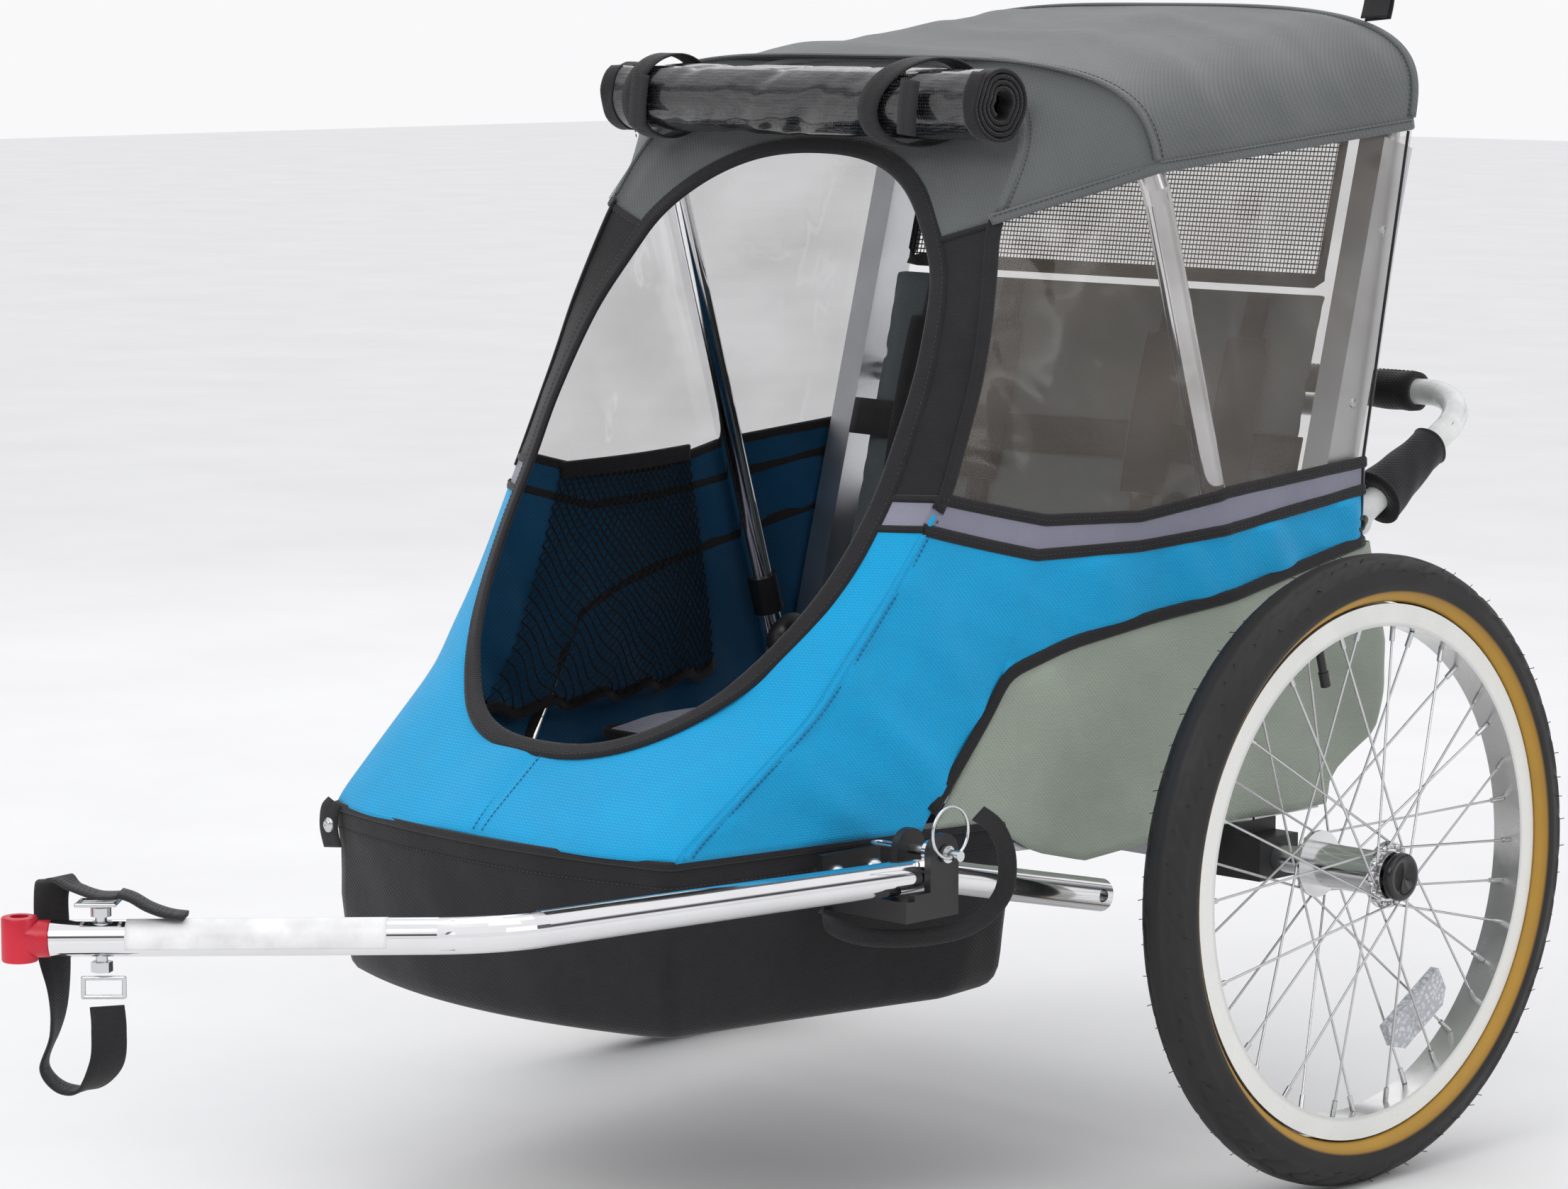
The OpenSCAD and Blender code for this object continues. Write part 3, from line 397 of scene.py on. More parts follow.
def metal(name, col, rough=0.15, brushed=0.0, axis=(1, 1, 60), wear=0.1):
    m, t, b = nt_new(name)
    v = mapped(t, 1.0)
    sp = noise(t, v, 22, 5)
    st = noise(t, mapped(t, axis), 40, 3)
    t.links.new(mixc(t, 0.6, ramp(t, sp, [(0.3, tuple(c * (1 - wear) for c in col)), (0.7, col)]), ramp(t, st, [(0.3, 1 - wear), (0.7, 1.0)]), "MULTIPLY"), b.inputs["Base Color"])
    r = mathn(t, "MULTIPLY_ADD", st, 0.16 * (0.3 + brushed), rough - 0.05)
    t.links.new(mathn(t, "MULTIPLY_ADD", sp, 0.07, r), b.inputs["Roughness"])
    b.inputs["Metallic"].default_value = 1.0
    if brushed: bump(t, b, st, 0.12 * brushed, 0.0003)
    else: bump(t, b, sp, 0.03, 0.0004)
    return m
def plastic(name, col, rough=0.45, grain=900, bmp=0.25, spec=0.5):
    m, t, b = nt_new(name)
    v = mapped(t, 1.0)
    g = noise(t, v, grain, 2); s = noise(t, v, 30, 4)
    t.links.new(ramp(t, s, [(0.3, tuple(c * 0.82 for c in col)), (0.7, tuple(min(1, c * 1.12) for c in col))]), b.inputs["Base Color"])
    t.links.new(ramp(t, s, [(0.3, rough - 0.07), (0.7, rough + 0.1)]), b.inputs["Roughness"])
    b.inputs["Specular IOR Level"].default_value = spec
    bump(t, b, g, bmp, 0.0002)
    return m

BLUE = fabric("blue_cloth", (0.0, 0.38, 0.74), 150, 0.78, 0.2, 0.08)
BLUE_IN = fabric("blue_cloth_inside", (0.0, 0.085, 0.20), 150, 0.85, 0.1, 0.15)
SAGE = fabric("sage_cloth", (0.36, 0.41, 0.345), 160, 0.84, 0.25, 0.10)
SAGE_IN = fabric("cabin_lining", (0.0, 0.075, 0.18), 160, 0.88, 0.15, 0.12)
GREY = fabric("grey_twill", (0.125, 0.135, 0.135), 140, 0.85, 0.3, 0.12, 0.6, twill=True)
GREY_IN = fabric("grey_twill_inside", (0.08, 0.085, 0.09), 140, 0.9, 0.2, 0.15, twill=True)
BLACK = fabric("black_cloth", (0.011, 0.010, 0.012), 160, 0.8, 0.18, 0.25)
BIND = fabric("black_binding", (0.009, 0.009, 0.011), 230, 0.72, 0.15, 0.2, 0.7)
LAV = fabric("lavender_cloth", (0.30, 0.30, 0.38), 170, 0.8, 0.3, 0.10)
REFL = fabric("reflective_cloth", (0.22, 0.22, 0.30), 260, 0.42, 0.1, 0.12, 0.4, spec=0.8)
SEAT = fabric("seat_cloth", (0.115, 0.14, 0.145), 150, 0.86, 0.25, 0.14)
WEB = fabric("black_webbing", (0.012, 0.012, 0.014), 330, 0.66, 0.15, 0.2, 1.0)
THREAD = fabric("thread_dark", (0.03, 0.03, 0.034), 600, 0.6, 0.1, 0.2)
THREAD_B = fabric("thread_blue", (0.0, 0.17, 0.36), 600, 0.6, 0.1, 0.2)
THREAD_G = fabric("thread_grey", (0.06, 0.062, 0.065), 600, 0.6, 0.1, 0.2)
NET = fabric("black_net", (0.008, 0.008, 0.01), 500, 0.7, 0.05, 0.2)
CHROME = metal("chrome", (0.80, 0.80, 0.81), 0.08, 0.0, wear=0.06)
ALU = metal("aluminium", (0.66, 0.67, 0.69), 0.32, 0.9, (60, 60, 1.2), 0.10)
ALU_H = metal("aluminium_rail", (0.66, 0.67, 0.69), 0.32, 0.9, (1.2, 60, 60), 0.10)
ZINC = metal("zinc", (0.68, 0.69, 0.70), 0.2, 0.2, wear=0.12)
STEEL = metal("stainless", (0.62, 0.62, 0.63), 0.18, 0.1)
HUBM = metal("hub_polished", (0.80, 0.80, 0.80), 0.14, 0.4, (1, 60, 60))
BLACKP = plastic("black_plastic", (0.012, 0.012, 0.013), 0.42)
BLACKG = plastic("black_gloss", (0.010, 0.010, 0.011), 0.22, 500, 0.08)
BLACKS = plastic("black_powder_coat", (0.013, 0.013, 0.014), 0.36, 1200, 0.35)
WHITEP = plastic("white_paint", (0.74, 0.75, 0.74), 0.25, 600, 0.08)
RED = plastic("red_urethane", (0.56, 0.008, 0.028), 0.36, 700, 0.25)
LABEL = plastic("white_label", (0.80, 0.80, 0.80), 0.4, 1200, 0.1)

def vinyl(name, col, alpha):
    m, t, b = nt_new(name)
    v = mapped(t, 1.0)
    w = noise(t, mapped(t, (3, 3, 7), (0.5, 0.3, 0.2)), 2.2, 2, 0.4); w2 = noise(t, v, 14, 3)
    t.links.new(ramp(t, w2, [(0.3, tuple(c * 0.8 for c in col)), (0.7, col)]), b.inputs["Base Color"])
    t.links.new(ramp(t, w, [(0.3, alpha * 0.8), (0.7, alpha * 1.25)]), b.inputs["Alpha"])
    b.inputs["Roughness"].default_value = 0.07
    b.inputs["Specular IOR Level"].default_value = 1.0
    b.inputs["Coat Weight"].default_value = 1.0
    b.inputs["Coat Roughness"].default_value = 0.03
    n1 = bump(t, b, w, 0.6, 0.016)
    bump(t, b, w2, 0.10, 0.003, n1)
    return m
VINYL = vinyl("smoked_vinyl", (0.19, 0.155, 0.12), 0.19)
VINYL_R = vinyl("roll_vinyl", (0.03, 0.03, 0.035), 0.55)

def radial(name, y, z, x0, stops, rough, metallic=0.0, bmp=None):
    """Colour by distance from a wheel's axis."""
    m, t, b = nt_new(name)
    c = node(t, "ShaderNodeTexCoord")
    s = node(t, "ShaderNodeSeparateXYZ"); t.links.new(c.outputs["Object"], s.inputs[0])
    dy = mathn(t, "SUBTRACT", s.outputs[1], y); dz = mathn(t, "SUBTRACT", s.outputs[2], z)
    r = mathn(t, "SQRT", mathn(t, "ADD", mathn(t, "MULTIPLY", dy, dy), mathn(t, "MULTIPLY", dz, dz)))
    r = mathn(t, "MULTIPLY", r, 4.0 - 0.0)     # 250 mm = 1
    k = ramp(t, r, stops)
    return m, t, b, k, r

def tyre_mat(name):
    m, t, b, k, r = radial(name, YC, 0.25, 0, [(0.0, (0.40, 0.22, 0.03)), (0.872, (0.46, 0.26, 0.038)), (0.884, (0.36, 0.19, 0.025)), (0.890, (0.013, 0.012, 0.012)), (1.0, (0.016, 0.015, 0.015))], 0.7)
    v = mapped(t, 1.0)
    g = noise(t, v, 160, 4); s = noise(t, v, 18, 4)
    t.links.new(mixc(t, 0.35, k, ramp(t, s, [(0.3, 0.6), (0.7, 1.0)]), "MULTIPLY"), b.inputs["Base Color"])
    t.links.new(ramp(t, s, [(0.25, 0.48), (0.75, 0.68)]), b.inputs["Roughness"])
    b.inputs["Specular IOR Level"].default_value = 0.4
    bump(t, b, g, 0.3, 0.0005)
    return m
TYRE = tyre_mat("tyre_rubber")

def rim_mat(name):
    m, t, b, k, r = radial(name, YC, 0.25, 0, [(0.0, (0.62, 0.62, 0.61)), (0.782, (0.66, 0.66, 0.65)), (0.79, (0.80, 0.80, 0.77)), (1.0, (0.84, 0.84, 0.81))], 0.3)
    v = mapped(t, 1.0); s = noise(t, v, 30, 4)
    t.links.new(mixc(t, 0.3, k, ramp(t, s, [(0.3, 0.8), (0.7, 1.0)]), "MULTIPLY"), b.inputs["Base Color"])
    t.links.new(ramp(t, s, [(0.3, 0.18), (0.7, 0.34)]), b.inputs["Roughness"])
    b.inputs["Metallic"].default_value = 0.75
    bump(t, b, s, 0.04, 0.0004)
    return m
RIM = rim_mat("rim_alloy")

def clear_plastic():
    m, t, b = nt_new("prismatic_clear")
    v = node(t, "ShaderNodeTexVoronoi"); v.inputs["Scale"].default_value = 260
    t.links.new(mapped(t, 1.0), v.inputs["Vector"])
    t.links.new(ramp(t, v.outputs["Distance"], [(0.0, (0.85, 0.87, 0.9)), (0.6, (0.42, 0.44, 0.48))]), b.inputs["Base Color"])
    b.inputs["Roughness"].default_value = 0.12
    b.inputs["Coat Weight"].default_value = 1.0
    b.inputs["Alpha"].default_value = 0.8
    bump(t, b, v.outputs["Distance"], 0.8, 0.0016)
    return m
CLEAR = clear_plastic()

def paint(nodes, m):
    for n in nodes:
        o = N[n]; o.data.materials.clear(); o.data.materials.append(m)
        bpy.context.view_layer.objects.active = o
def shade(o, ang=35):
    me = o.data
    me.polygons.foreach_set("use_smooth", np.full(len(me.polygons), True))
    bm = bmesh.new(); bm.from_mesh(me)
    for e in bm.edges:
        e.smooth = not (len(e.link_faces) == 2 and e.calc_face_angle(0) > math.radians(ang))
    me2 = [e.smooth for e in bm.edges]
    bm.free()
    at = me.attributes.get("sharp_edge") or me.attributes.new("sharp_edge", "BOOLEAN", "EDGE")
    at.data.foreach_set("value", [not s for s in me2])

L = ("left", "right")
paint(["side_rail_left", "side_rail_right"], ALU_H)
paint(["base_crossbars", "axle_tube"], ALU_H)
paint(["upright_left", "upright_right", "top_bow", "back_crossbar"], ALU)
paint(["axle_blocks", "handle_brackets", "hoop_sleeves"], BLACKP)
paint(["hitch_bracket"], BLACKS)
paint(["stub_axles", "fold_brackets", "fold_pins", "frame_bolts", "strap_bolt", "strap_rings", "lock_pin", "pin_ring", "wire_clip"], ZINC)
paint(["front_hoop", "hitch_arm"], CHROME)
paint(["handle_bar"], WHITEP)
for s in L:
    paint([f"rim_{s}"], RIM); paint([f"spokes_{s}"], STEEL); paint([f"hub_{s}"], HUBM); paint([f"hub_bearings_{s}"], STEEL)
    paint([f"valve_{s}"], BLACKP); paint([f"push_button_{s}"], BLACKG); paint([f"reflector_{s}"], CLEAR)

FOLD = []      # pieces of the cabin, each given its own mesh copy at the end
def cabin(o, slot, *nodes, body="root"):
    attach(o, body)
    if nodes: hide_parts(*nodes)
    FOLD.append(o)
    return o

# ------------------------------------------------------------------ cabin: blue front and sides
def mirror_pair(name, make, slot, node_=None):
    out = []
    for side, mir in (("left", False), ("right", True)):
        o = make(f"{name}_{side}", mir)
        cabin(o, slot, *([node_] if node_ else []))
        out.append(o)
    return out

t = np.radians(np.linspace(-180 - T_A, T_A, 190))[:, None]
v = np.linspace(0, 1, 34)[None, :]
G = face_p(t, v)
seam = np.exp(-((np.degrees(t) + 90) / 0.55) ** 2) * np.ones_like(v)
Gn = normals(G)
G = G - Gn * (1.3 * seam)[..., None]
front = cloth("blue_front_panel", G, [BLUE, BLUE_IN], 1.6, [((0.3, -0.4, 1), 120, 3.2, 2, 0.4), ((1, 0.3, -0.6), 150, 3.0, 2, 2.0), ((0.9, 0, 0.8), 62, 0.9, 2, 4.2)], edge_mask(G.shape[:2], (0.06, 0.06, 0.12, 0.05)))
cabin(front, "blue_fabric", "lower_body")

S = np.concatenate([np.linspace(0, 0.388, 44), np.linspace(0.3901, 0.4099, 16), np.linspace(0.414, 2, 110)])[:, None]
J = np.linspace(0, 1, 40)[None, :]
def blue_side(name, mir):
    lo = tab(S, BLUE_LOW); hi = tab(S, STRIP_LOW) - 0.3
    G = side_p(S, lo + (hi - lo) * J)
    return cloth(name, G, [BLUE, BLUE_IN], 1.6, [((0.2, 0.75, 0.6), 74, 5.2, 2.4, 1.1), ((0.1, 1, 0.3), 150, 3.6, 1.6, 3.0), ((0, 0.5, 1), 38, 1.0, 2, 5.0)],
                 edge_mask(G.shape[:2], (0.03, 0.03, 0.12, 0.2)), mir)
mirror_pair("blue_side_panel", blue_side, "blue_fabric")

S2 = np.linspace(0.0, 2, 130)[:, None]; J2 = np.linspace(0, 1, 8)[None, :]
def strip_side(name, mir):
    G = side_p(S2, tab(S2, STRIP_LOW) * (1 - J2) + tab(S2, STRIP_TOP) * J2)
    return cloth(name, G, [REFL, BLUE_IN], 1.7, [((0, 1, 0.2), 90, 0.9, 1, 0.7)], None, mir)
mirror_pair("reflective_band", strip_side, "reflective_tape", "reflective_strips")

S3 = np.linspace(0.02, 2, 150)[:, None]; J3 = np.linspace(0, 1, 46)[None, :]
def window(name, mir):
    lo = tab(S3, STRIP_TOP); hi = tab(S3, HEM_LOW) + 3
    G = side_p(S3, lo + (hi - lo) * J3)
    sd = 3.3 if mir else 0.6
    return cloth(name, G, [VINYL], 0.7, [((0, 1, 0.55), 170, 5.5, 3, 0.2 + sd), ((0, 0.9, -0.5), 120, 4.0, 4, 1.4 + sd), ((0, 1, 0.2), 47, 1.0, 3, 2.2 + sd), ((0, 0.6, 1), 66, 1.3, 5, 4.4 + sd)],
                 edge_mask(G.shape[:2], (0.06, 0.05, 0.12, 0.15)), mir)
for side, mir in (("left", False), ("right", True)):
    o = window(f"window_vinyl_{side}", mir)
    cabin(o, "clear_vinyl", f"side_window_{side}")

# sage rear body, one sheet round the back
qs = np.concatenate([np.linspace(0.412, 2, 92), 2 + np.linspace(0.012, 0.988, 70)])[:, None]
js = np.linspace(0, 1, 26)[None, :]
A1 = sage_p(qs, js)
A2 = (sage_p(np.linspace(0.412, 2, 92)[:, None], js) * [-1, 1, 1])[::-1]
G = np.concatenate([A1, A2], 0)
sage = cloth("sage_rear_body", G, [SAGE, SAGE_IN], 1.6, [((0.2, 0.8, 0.7), 82, 6.0, 2.2, 2.7), ((0.2, 1, -0.2), 140, 4.0, 1.6, 0.3), ((1, 0.6, 0.3), 70, 2.6, 2, 4.1), ((0, 0.6, 1), 33, 0.8, 2, 1.0)],
             edge_mask(G.shape[:2], (0.03, 0.03, 0.12, 0.14)))
cabin(sage, "sage_fabric", "rear_body")

# ------------------------------------------------------------------ roof
a = np.linspace(0, pi, 150)[:, None]; vv = np.linspace(0, 1, 90)[None, :]
G = roof_p(a, vv)
roof = cloth("roof_cover", G, [GREY, GREY_IN], 1.8, [((1, 0.5, 0.3), 150, 3.6, 2.0, 0.9), ((0.3, 1, 0), 120, 3.4, 2.2, 2.4), ((0.7, 0.8, 0.6), 56, 1.3, 2.4, 5.2)], edge_mask(G.shape[:2], (0.05, 0.05, 0.05, 0.05)))
cabin(roof, "grey_fabric", "roof")
t = np.radians(np.linspace(T_B, 180 - T_B, 110))[:, None]; v = np.linspace(0, 1.0, 26)[None, :]
G = face_p(t, v)
flap = cloth("roof_front_flap", G, [GREY, GREY_IN], 1.8, [((1, 0, 0.6), 90, 1.4, 2, 1.9), ((0.4, 0, 1), 50, 0.9, 2, 0.4)])
cabin(flap, "grey_fabric")

# black panels each side of the opening
for side, mir in (("left", False), ("right", True)):
    t = np.radians(np.linspace(T_C, T_B, 60))[:, None]; v = np.linspace(0, 1, 16)[None, :]
    G = face_p(t, v)
    o = cloth(f"opening_side_panel_{side}", G, [BLACK], 1.8, [((0, 0.3, 1), 60, 1.2, 2, 1.0)], None, mir)
    cabin(o, "black_fabric", "opening_frame")
    t = np.radians(np.linspace(T_A, T_C, 9))[:, None]; v = np.linspace(0, 1, 12)[None, :]
    o = cloth(f"reflective_band_front_{side}", face_p(t, v), [REFL, BLUE_IN], 1.7, [((0, 1, 0.2), 90, 0.5, 1, 0.7)], None, mir)
    cabin(o, "reflective_tape")

# ------------------------------------------------------------------ bindings, seams and stitches
parts, threads = [], []
th = np.linspace(0, 2 * pi, 241)[:-1]
P0 = face_p(th, np.full_like(th, 0.0)); P1 = face_p(th, np.full_like(th, 0.25))
W = P1 - P0
Wn = W / np.linalg.norm(W, axis=1, keepdims=True)
ring = P0 + Wn * 4.5
o = sweep("opening_binding", ring, W, rrect(16, 5.2, 2.3), BIND, closed=True)
cabin(o, "black_fabric")
nf = np.cross(np.gradient(ring, axis=0), Wn); nf /= np.linalg.norm(nf, axis=1, keepdims=True)
if nf[:, 1].mean() > 0: nf = -nf
rc = np.concatenate([ring, ring[:1]]); nc = np.concatenate([nf, nf[:1]]); wc = np.concatenate([Wn, Wn[:1]])
o = join("opening_binding_stitches", [stitch_data(rc + nc * 2.7 + wc * 5.0, nc), ], [THREAD])
cabin(o, "black_fabric")

def side_line(T, off, s0, s1, n=160):
    s = np.linspace(s0, s1, n)
    z = tab(s, T) + off
    P = side_p(s, z); Q = side_p(s, z + 4)
    W = Q - P; W /= np.linalg.norm(W, axis=1, keepdims=True)
    tn = np.gradient(P, axis=0); nn = np.cross(tn, W); nn /= np.linalg.norm(nn, axis=1, keepdims=True)
    if nn[:, 0].mean() < 0: nn = -nn
    return P, W, nn

for side, mir in (("left", False), ("right", True)):
    bp, st = [], []
    for T, off, s0, s1, b in ((STRIP_TOP, 0.5, 0.0, 2, 9.5), (STRIP_LOW, 0, 0.0, 2, 9.5)):
        P, W, nn = side_line(T, off, s0, s1)
        bp.append(sweep_data(P, W, rrect(b, 4.0, 1.7), False, mir))
        st.append(stitch_data(P + nn * 2.05, nn, mirror=mir))
    # curved binding between the blue and sage cloth
    s = np.concatenate([np.linspace(0.3925, 0.4085, 24), np.linspace(0.413, 2, 130)])
    P = side_p(s, tab(s, BLUE_LOW)); P = resample(P, 7)
    k = 3
    for _ in range(4):
        P[1:-1] = (P[:-2] + 2 * P[1:-1] + P[2:]) / 4
    tn = np.gradient(P, axis=0); tn /= np.linalg.norm(tn, axis=1, keepdims=True)
    nn = np.tile([1.0, -0.18, 0.0], (len(P), 1)); W = np.cross(nn, tn)
    P = P + nn * 0.4
    bp.append(sweep_data(P, W, rrect(10.5, 4.6, 2.0), False, mir))
    # window's front edge, along the face
    z = np.linspace(548, 762, 60)
    P = side_p(np.full_like(z, 0.015), z); Q = side_p(np.full_like(z, 0.06), z)
    bp.append(sweep_data(P, Q - P, rrect(12, 4.0, 1.8), False, mir))
    # back edge of the cover
    z = np.linspace(494, 822, 70)
    P = side_p(np.full_like(z, 1.985), z); Q = side_p(np.full_like(z, 1.9), z)
    bp.append(sweep_data(P, Q - P, rrect(3.2, 1.8, 0.8), False, mir))
    # black panel's upper and lower seams on the face
    for tt in (T_A, T_C, T_B):
        vv_ = np.linspace(0.02, 1, 24); ta = np.full_like(vv_, math.radians(tt))
        P = face_p(ta, vv_); Q = face_p(ta + 0.03, vv_)
        bp.append(sweep_data(P, Q - P, rrect(6, 3.4, 1.5), False, mir))
    o = join(f"bindings_{side}", bp, [BIND]); cabin(o, "black_fabric")
    o = join(f"binding_stitches_{side}", st, [THREAD]); cabin(o, "black_fabric")
    # corner seam of the blue cloth, with its topstitching
    z = np.linspace(306, 545, 80)
    P = side_p(np.full_like(z, 0.012), z); Q = side_p(np.full_like(z, 0.05), z); W = Q - P
    Wn_ = W / np.linalg.norm(W, axis=1, keepdims=True)
    tn = np.gradient(P, axis=0); nn = np.cross(tn, Wn_); nn /= np.linalg.norm(nn, axis=1, keepdims=True)
    if nn[:, 0].mean() < 0: nn = -nn
    o = join(f"blue_corner_seam_{side}", [sweep_data(P, W, rrect(4.4, 3.0, 1.3), False, mir)], [BLUE]); cabin(o, "blue_fabric")
    o = join(f"blue_corner_stitches_{side}", [stitch_data(P + Wn_ * 6 + nn * 0.9, nn, mirror=mir)], [THREAD_B]); cabin(o, "blue_fabric")
    # roof hem and its stitching
    s = np.linspace(0.0, 1.0, 130)
    P = roof_p(np.full_like(s, 0.0), s); Q = roof_p(np.full_like(s, 0.18), s); W = Q - P
    o1 = sweep_data(P + [0.3, 0, 3.5], W, rrect(9, 3.8, 1.7), False, mir)
    W /= np.linalg.norm(W, axis=1, keepdims=True)
    o = join(f"roof_hem_{side}", [o1], [GREY]); cabin(o, "grey_fabric")
    o = join(f"roof_hem_stitches_{side}", [stitch_data(P + [2.4, 0, 6.5], np.tile([1.0, 0, 0], (len(P), 1)), mirror=mir)], [THREAD_G]); cabin(o, "grey_fabric")

# roof seams over the hoop, at the front edge and round the back
bp, st = [], []
for vpos, b in ((0.35, 6.5), (0.006, 6.0), (0.994, 8.0)):
    aa = np.linspace(0.02, pi - 0.02, 170)
    P = roof_p(aa, np.full_like(aa, vpos)); Q = roof_p(aa, np.full_like(aa, vpos + (0.02 if vpos < 0.9 else -0.02))); W = Q - P
    tn = np.gradient(P, axis=0); nn = np.cross(tn, W); nn /= np.linalg.norm(nn, axis=1, keepdims=True)
    if np.sum(nn * (P - [0, 0, 700])) < 0: nn = -nn
    bp.append(sweep_data(P + nn * 0.4, W, rrect(b, 3.2, 1.4)))
    Wu = W / np.linalg.norm(W, axis=1, keepdims=True)
    st.append(stitch_data(P + nn * 0.9 + Wu * 6.5, nn))
    if vpos == 0.35: st.append(stitch_data(P + nn * 0.9 - Wu * 6.5, nn))
o = join("roof_seams", bp, [GREY]); cabin(o, "grey_fabric")
o = join("roof_seam_stitches", st, [THREAD_G]); cabin(o, "grey_fabric")
# centre seam of the blue front
v = np.linspace(0.1, 0.99, 60)
st = []
for off in (-0.018, 0.018):
    P = face_p(np.full_like(v, -pi / 2 + off), v)
    st.append(stitch_data(P + [0, -1.0, 0.6], np.tile([0, -0.8, 0.5], (len(P), 1))))
o = join("blue_front_stitches", st, [THREAD_B]); cabin(o, "blue_fabric")

# ------------------------------------------------------------------ foot tray
def outline(z, g=0.0):
    """The tray's outline at height z."""
    top = np.array([(190 * k / 14, -567 - 25 * (1 - (k / 14) ** 2)) for k in range(-14, 15)] + [(240, -262), (241, -238), (0, -236), (-241, -238), (-240, -262)], float)
    low = np.array([(184 * k / 14, -560 - 37 * (1 - (k / 14) ** 2)) for k in range(-14, 15)] + [(232, -300), (222, -238), (0, -236), (-222, -238), (-232, -300)], float)
    f = np.clip((z - 170) / 133, 0, 1)
    p = low * (1 - f) + top * f
    p = resample(np.c_[np.r_[p, p[:1]], np.zeros(len(p) + 1)], 9)[:-1, :2]
    c = np.array([0, -400.0]); d = p - c
    return c + d * (1 - g / np.linalg.norm(d, axis=1, keepdims=True))
rows = []
levels = [(303, 0), (296, 0), (285, 0.4), (268, 0.8), (250, 1.0), (232, 1.0), (214, 1.0), (198, 0.8), (186, 1.2), (178, 3), (172.5, 7), (169.2, 13), (168.4, 24)]
base = [outline(max(170, z), g) for z, g in levels]
n_ = min(len(b) for b in base)
def renum(p, n):
    q = resample(np.c_[np.r_[p, p[:1]], np.zeros(len(p) + 1)], 1.0)[:, :2]
    i = np.linspace(0, len(q) - 1, n + 1)[:-1]
    return np.stack([np.interp(i, np.arange(len(q)), q[:, k]) for k in range(2)], 1)
base = [renum(b, 190) for b in base]
for (z, g), b in zip(levels, base):
    d = 1.7 * np.sin(b[:, 0] / 27.0 + z / 19.0) * np.sin(b[:, 1] / 33.0 + z / 40.0) + 0.9 * np.sin(b[:, 0] / 11.0 + b[:, 1] / 14.0 + z / 13.0)
    k = math.sin(pi * min(1, max(0, (303 - z) / 135.0)))
    c = np.array([0, -400.0]); u = (b - c) / np.linalg.norm(b - c, axis=1, keepdims=True)
    q = b - u * (2.4 + (d[:, None]) * k * 0.8)
    rows.append(np.c_[q, np.full(len(q), float(z))])
OUT = np.array(rows)
Cc = np.array([0, -400.0, 0])
inn = OUT.copy()
uu = (OUT - [0, -400, 0]) * [1, 1, 0]; uu /= np.linalg.norm(uu, axis=-1, keepdims=True)
inn = OUT - uu * 1.8
inn[:, :, 2] = np.maximum(OUT[:, :, 2], 170.4)
R_, C_ = OUT.shape[:2]
P = np.concatenate([OUT.reshape(-1, 3), inn.reshape(-1, 3), [[0, -400, 167.6]], [[0, -400, 170.0]]])
F = []
for i in range(R_ - 1):
    for j in range(C_):
        j2 = (j + 1) % C_
        F.append((i * C_ + j, i * C_ + j2, (i + 1) * C_ + j2, (i + 1) * C_ + j))
        k = R_ * C_
        F.append((k + i * C_ + j, k + (i + 1) * C_ + j, k + (i + 1) * C_ + j2, k + i * C_ + j2))
k = R_ * C_
for j in range(C_):
    j2 = (j + 1) % C_
    F.append((j, k + j, k + j2, j2))
    F.append(((R_ - 1) * C_ + j, (R_ - 1) * C_ + j2, 2 * k))
    F.append((k + (R_ - 1) * C_ + j2, k + (R_ - 1) * C_ + j, 2 * k + 1))
foot = build("foot_tray_cloth", P, F, [BLACK])
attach(foot, "root"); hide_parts("footwell")
top = OUT[0]; P = np.array([p for p in top])
o = sweep("foot_tray_piping", P + [0, 0, -1.0], np.tile([0.0, 0, 1], (len(P), 1)), rrect(7, 4.6, 2.0), BIND, closed=True)
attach(o, "root")
lowr = OUT[9]
o = join("foot_tray_stitches", [stitch_data(np.r_[OUT[2], OUT[2][:1]] + np.r_[uu[2], uu[2][:1]] * 0.5, np.r_[uu[2], uu[2][:1]])], [THREAD])
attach(o, "root")

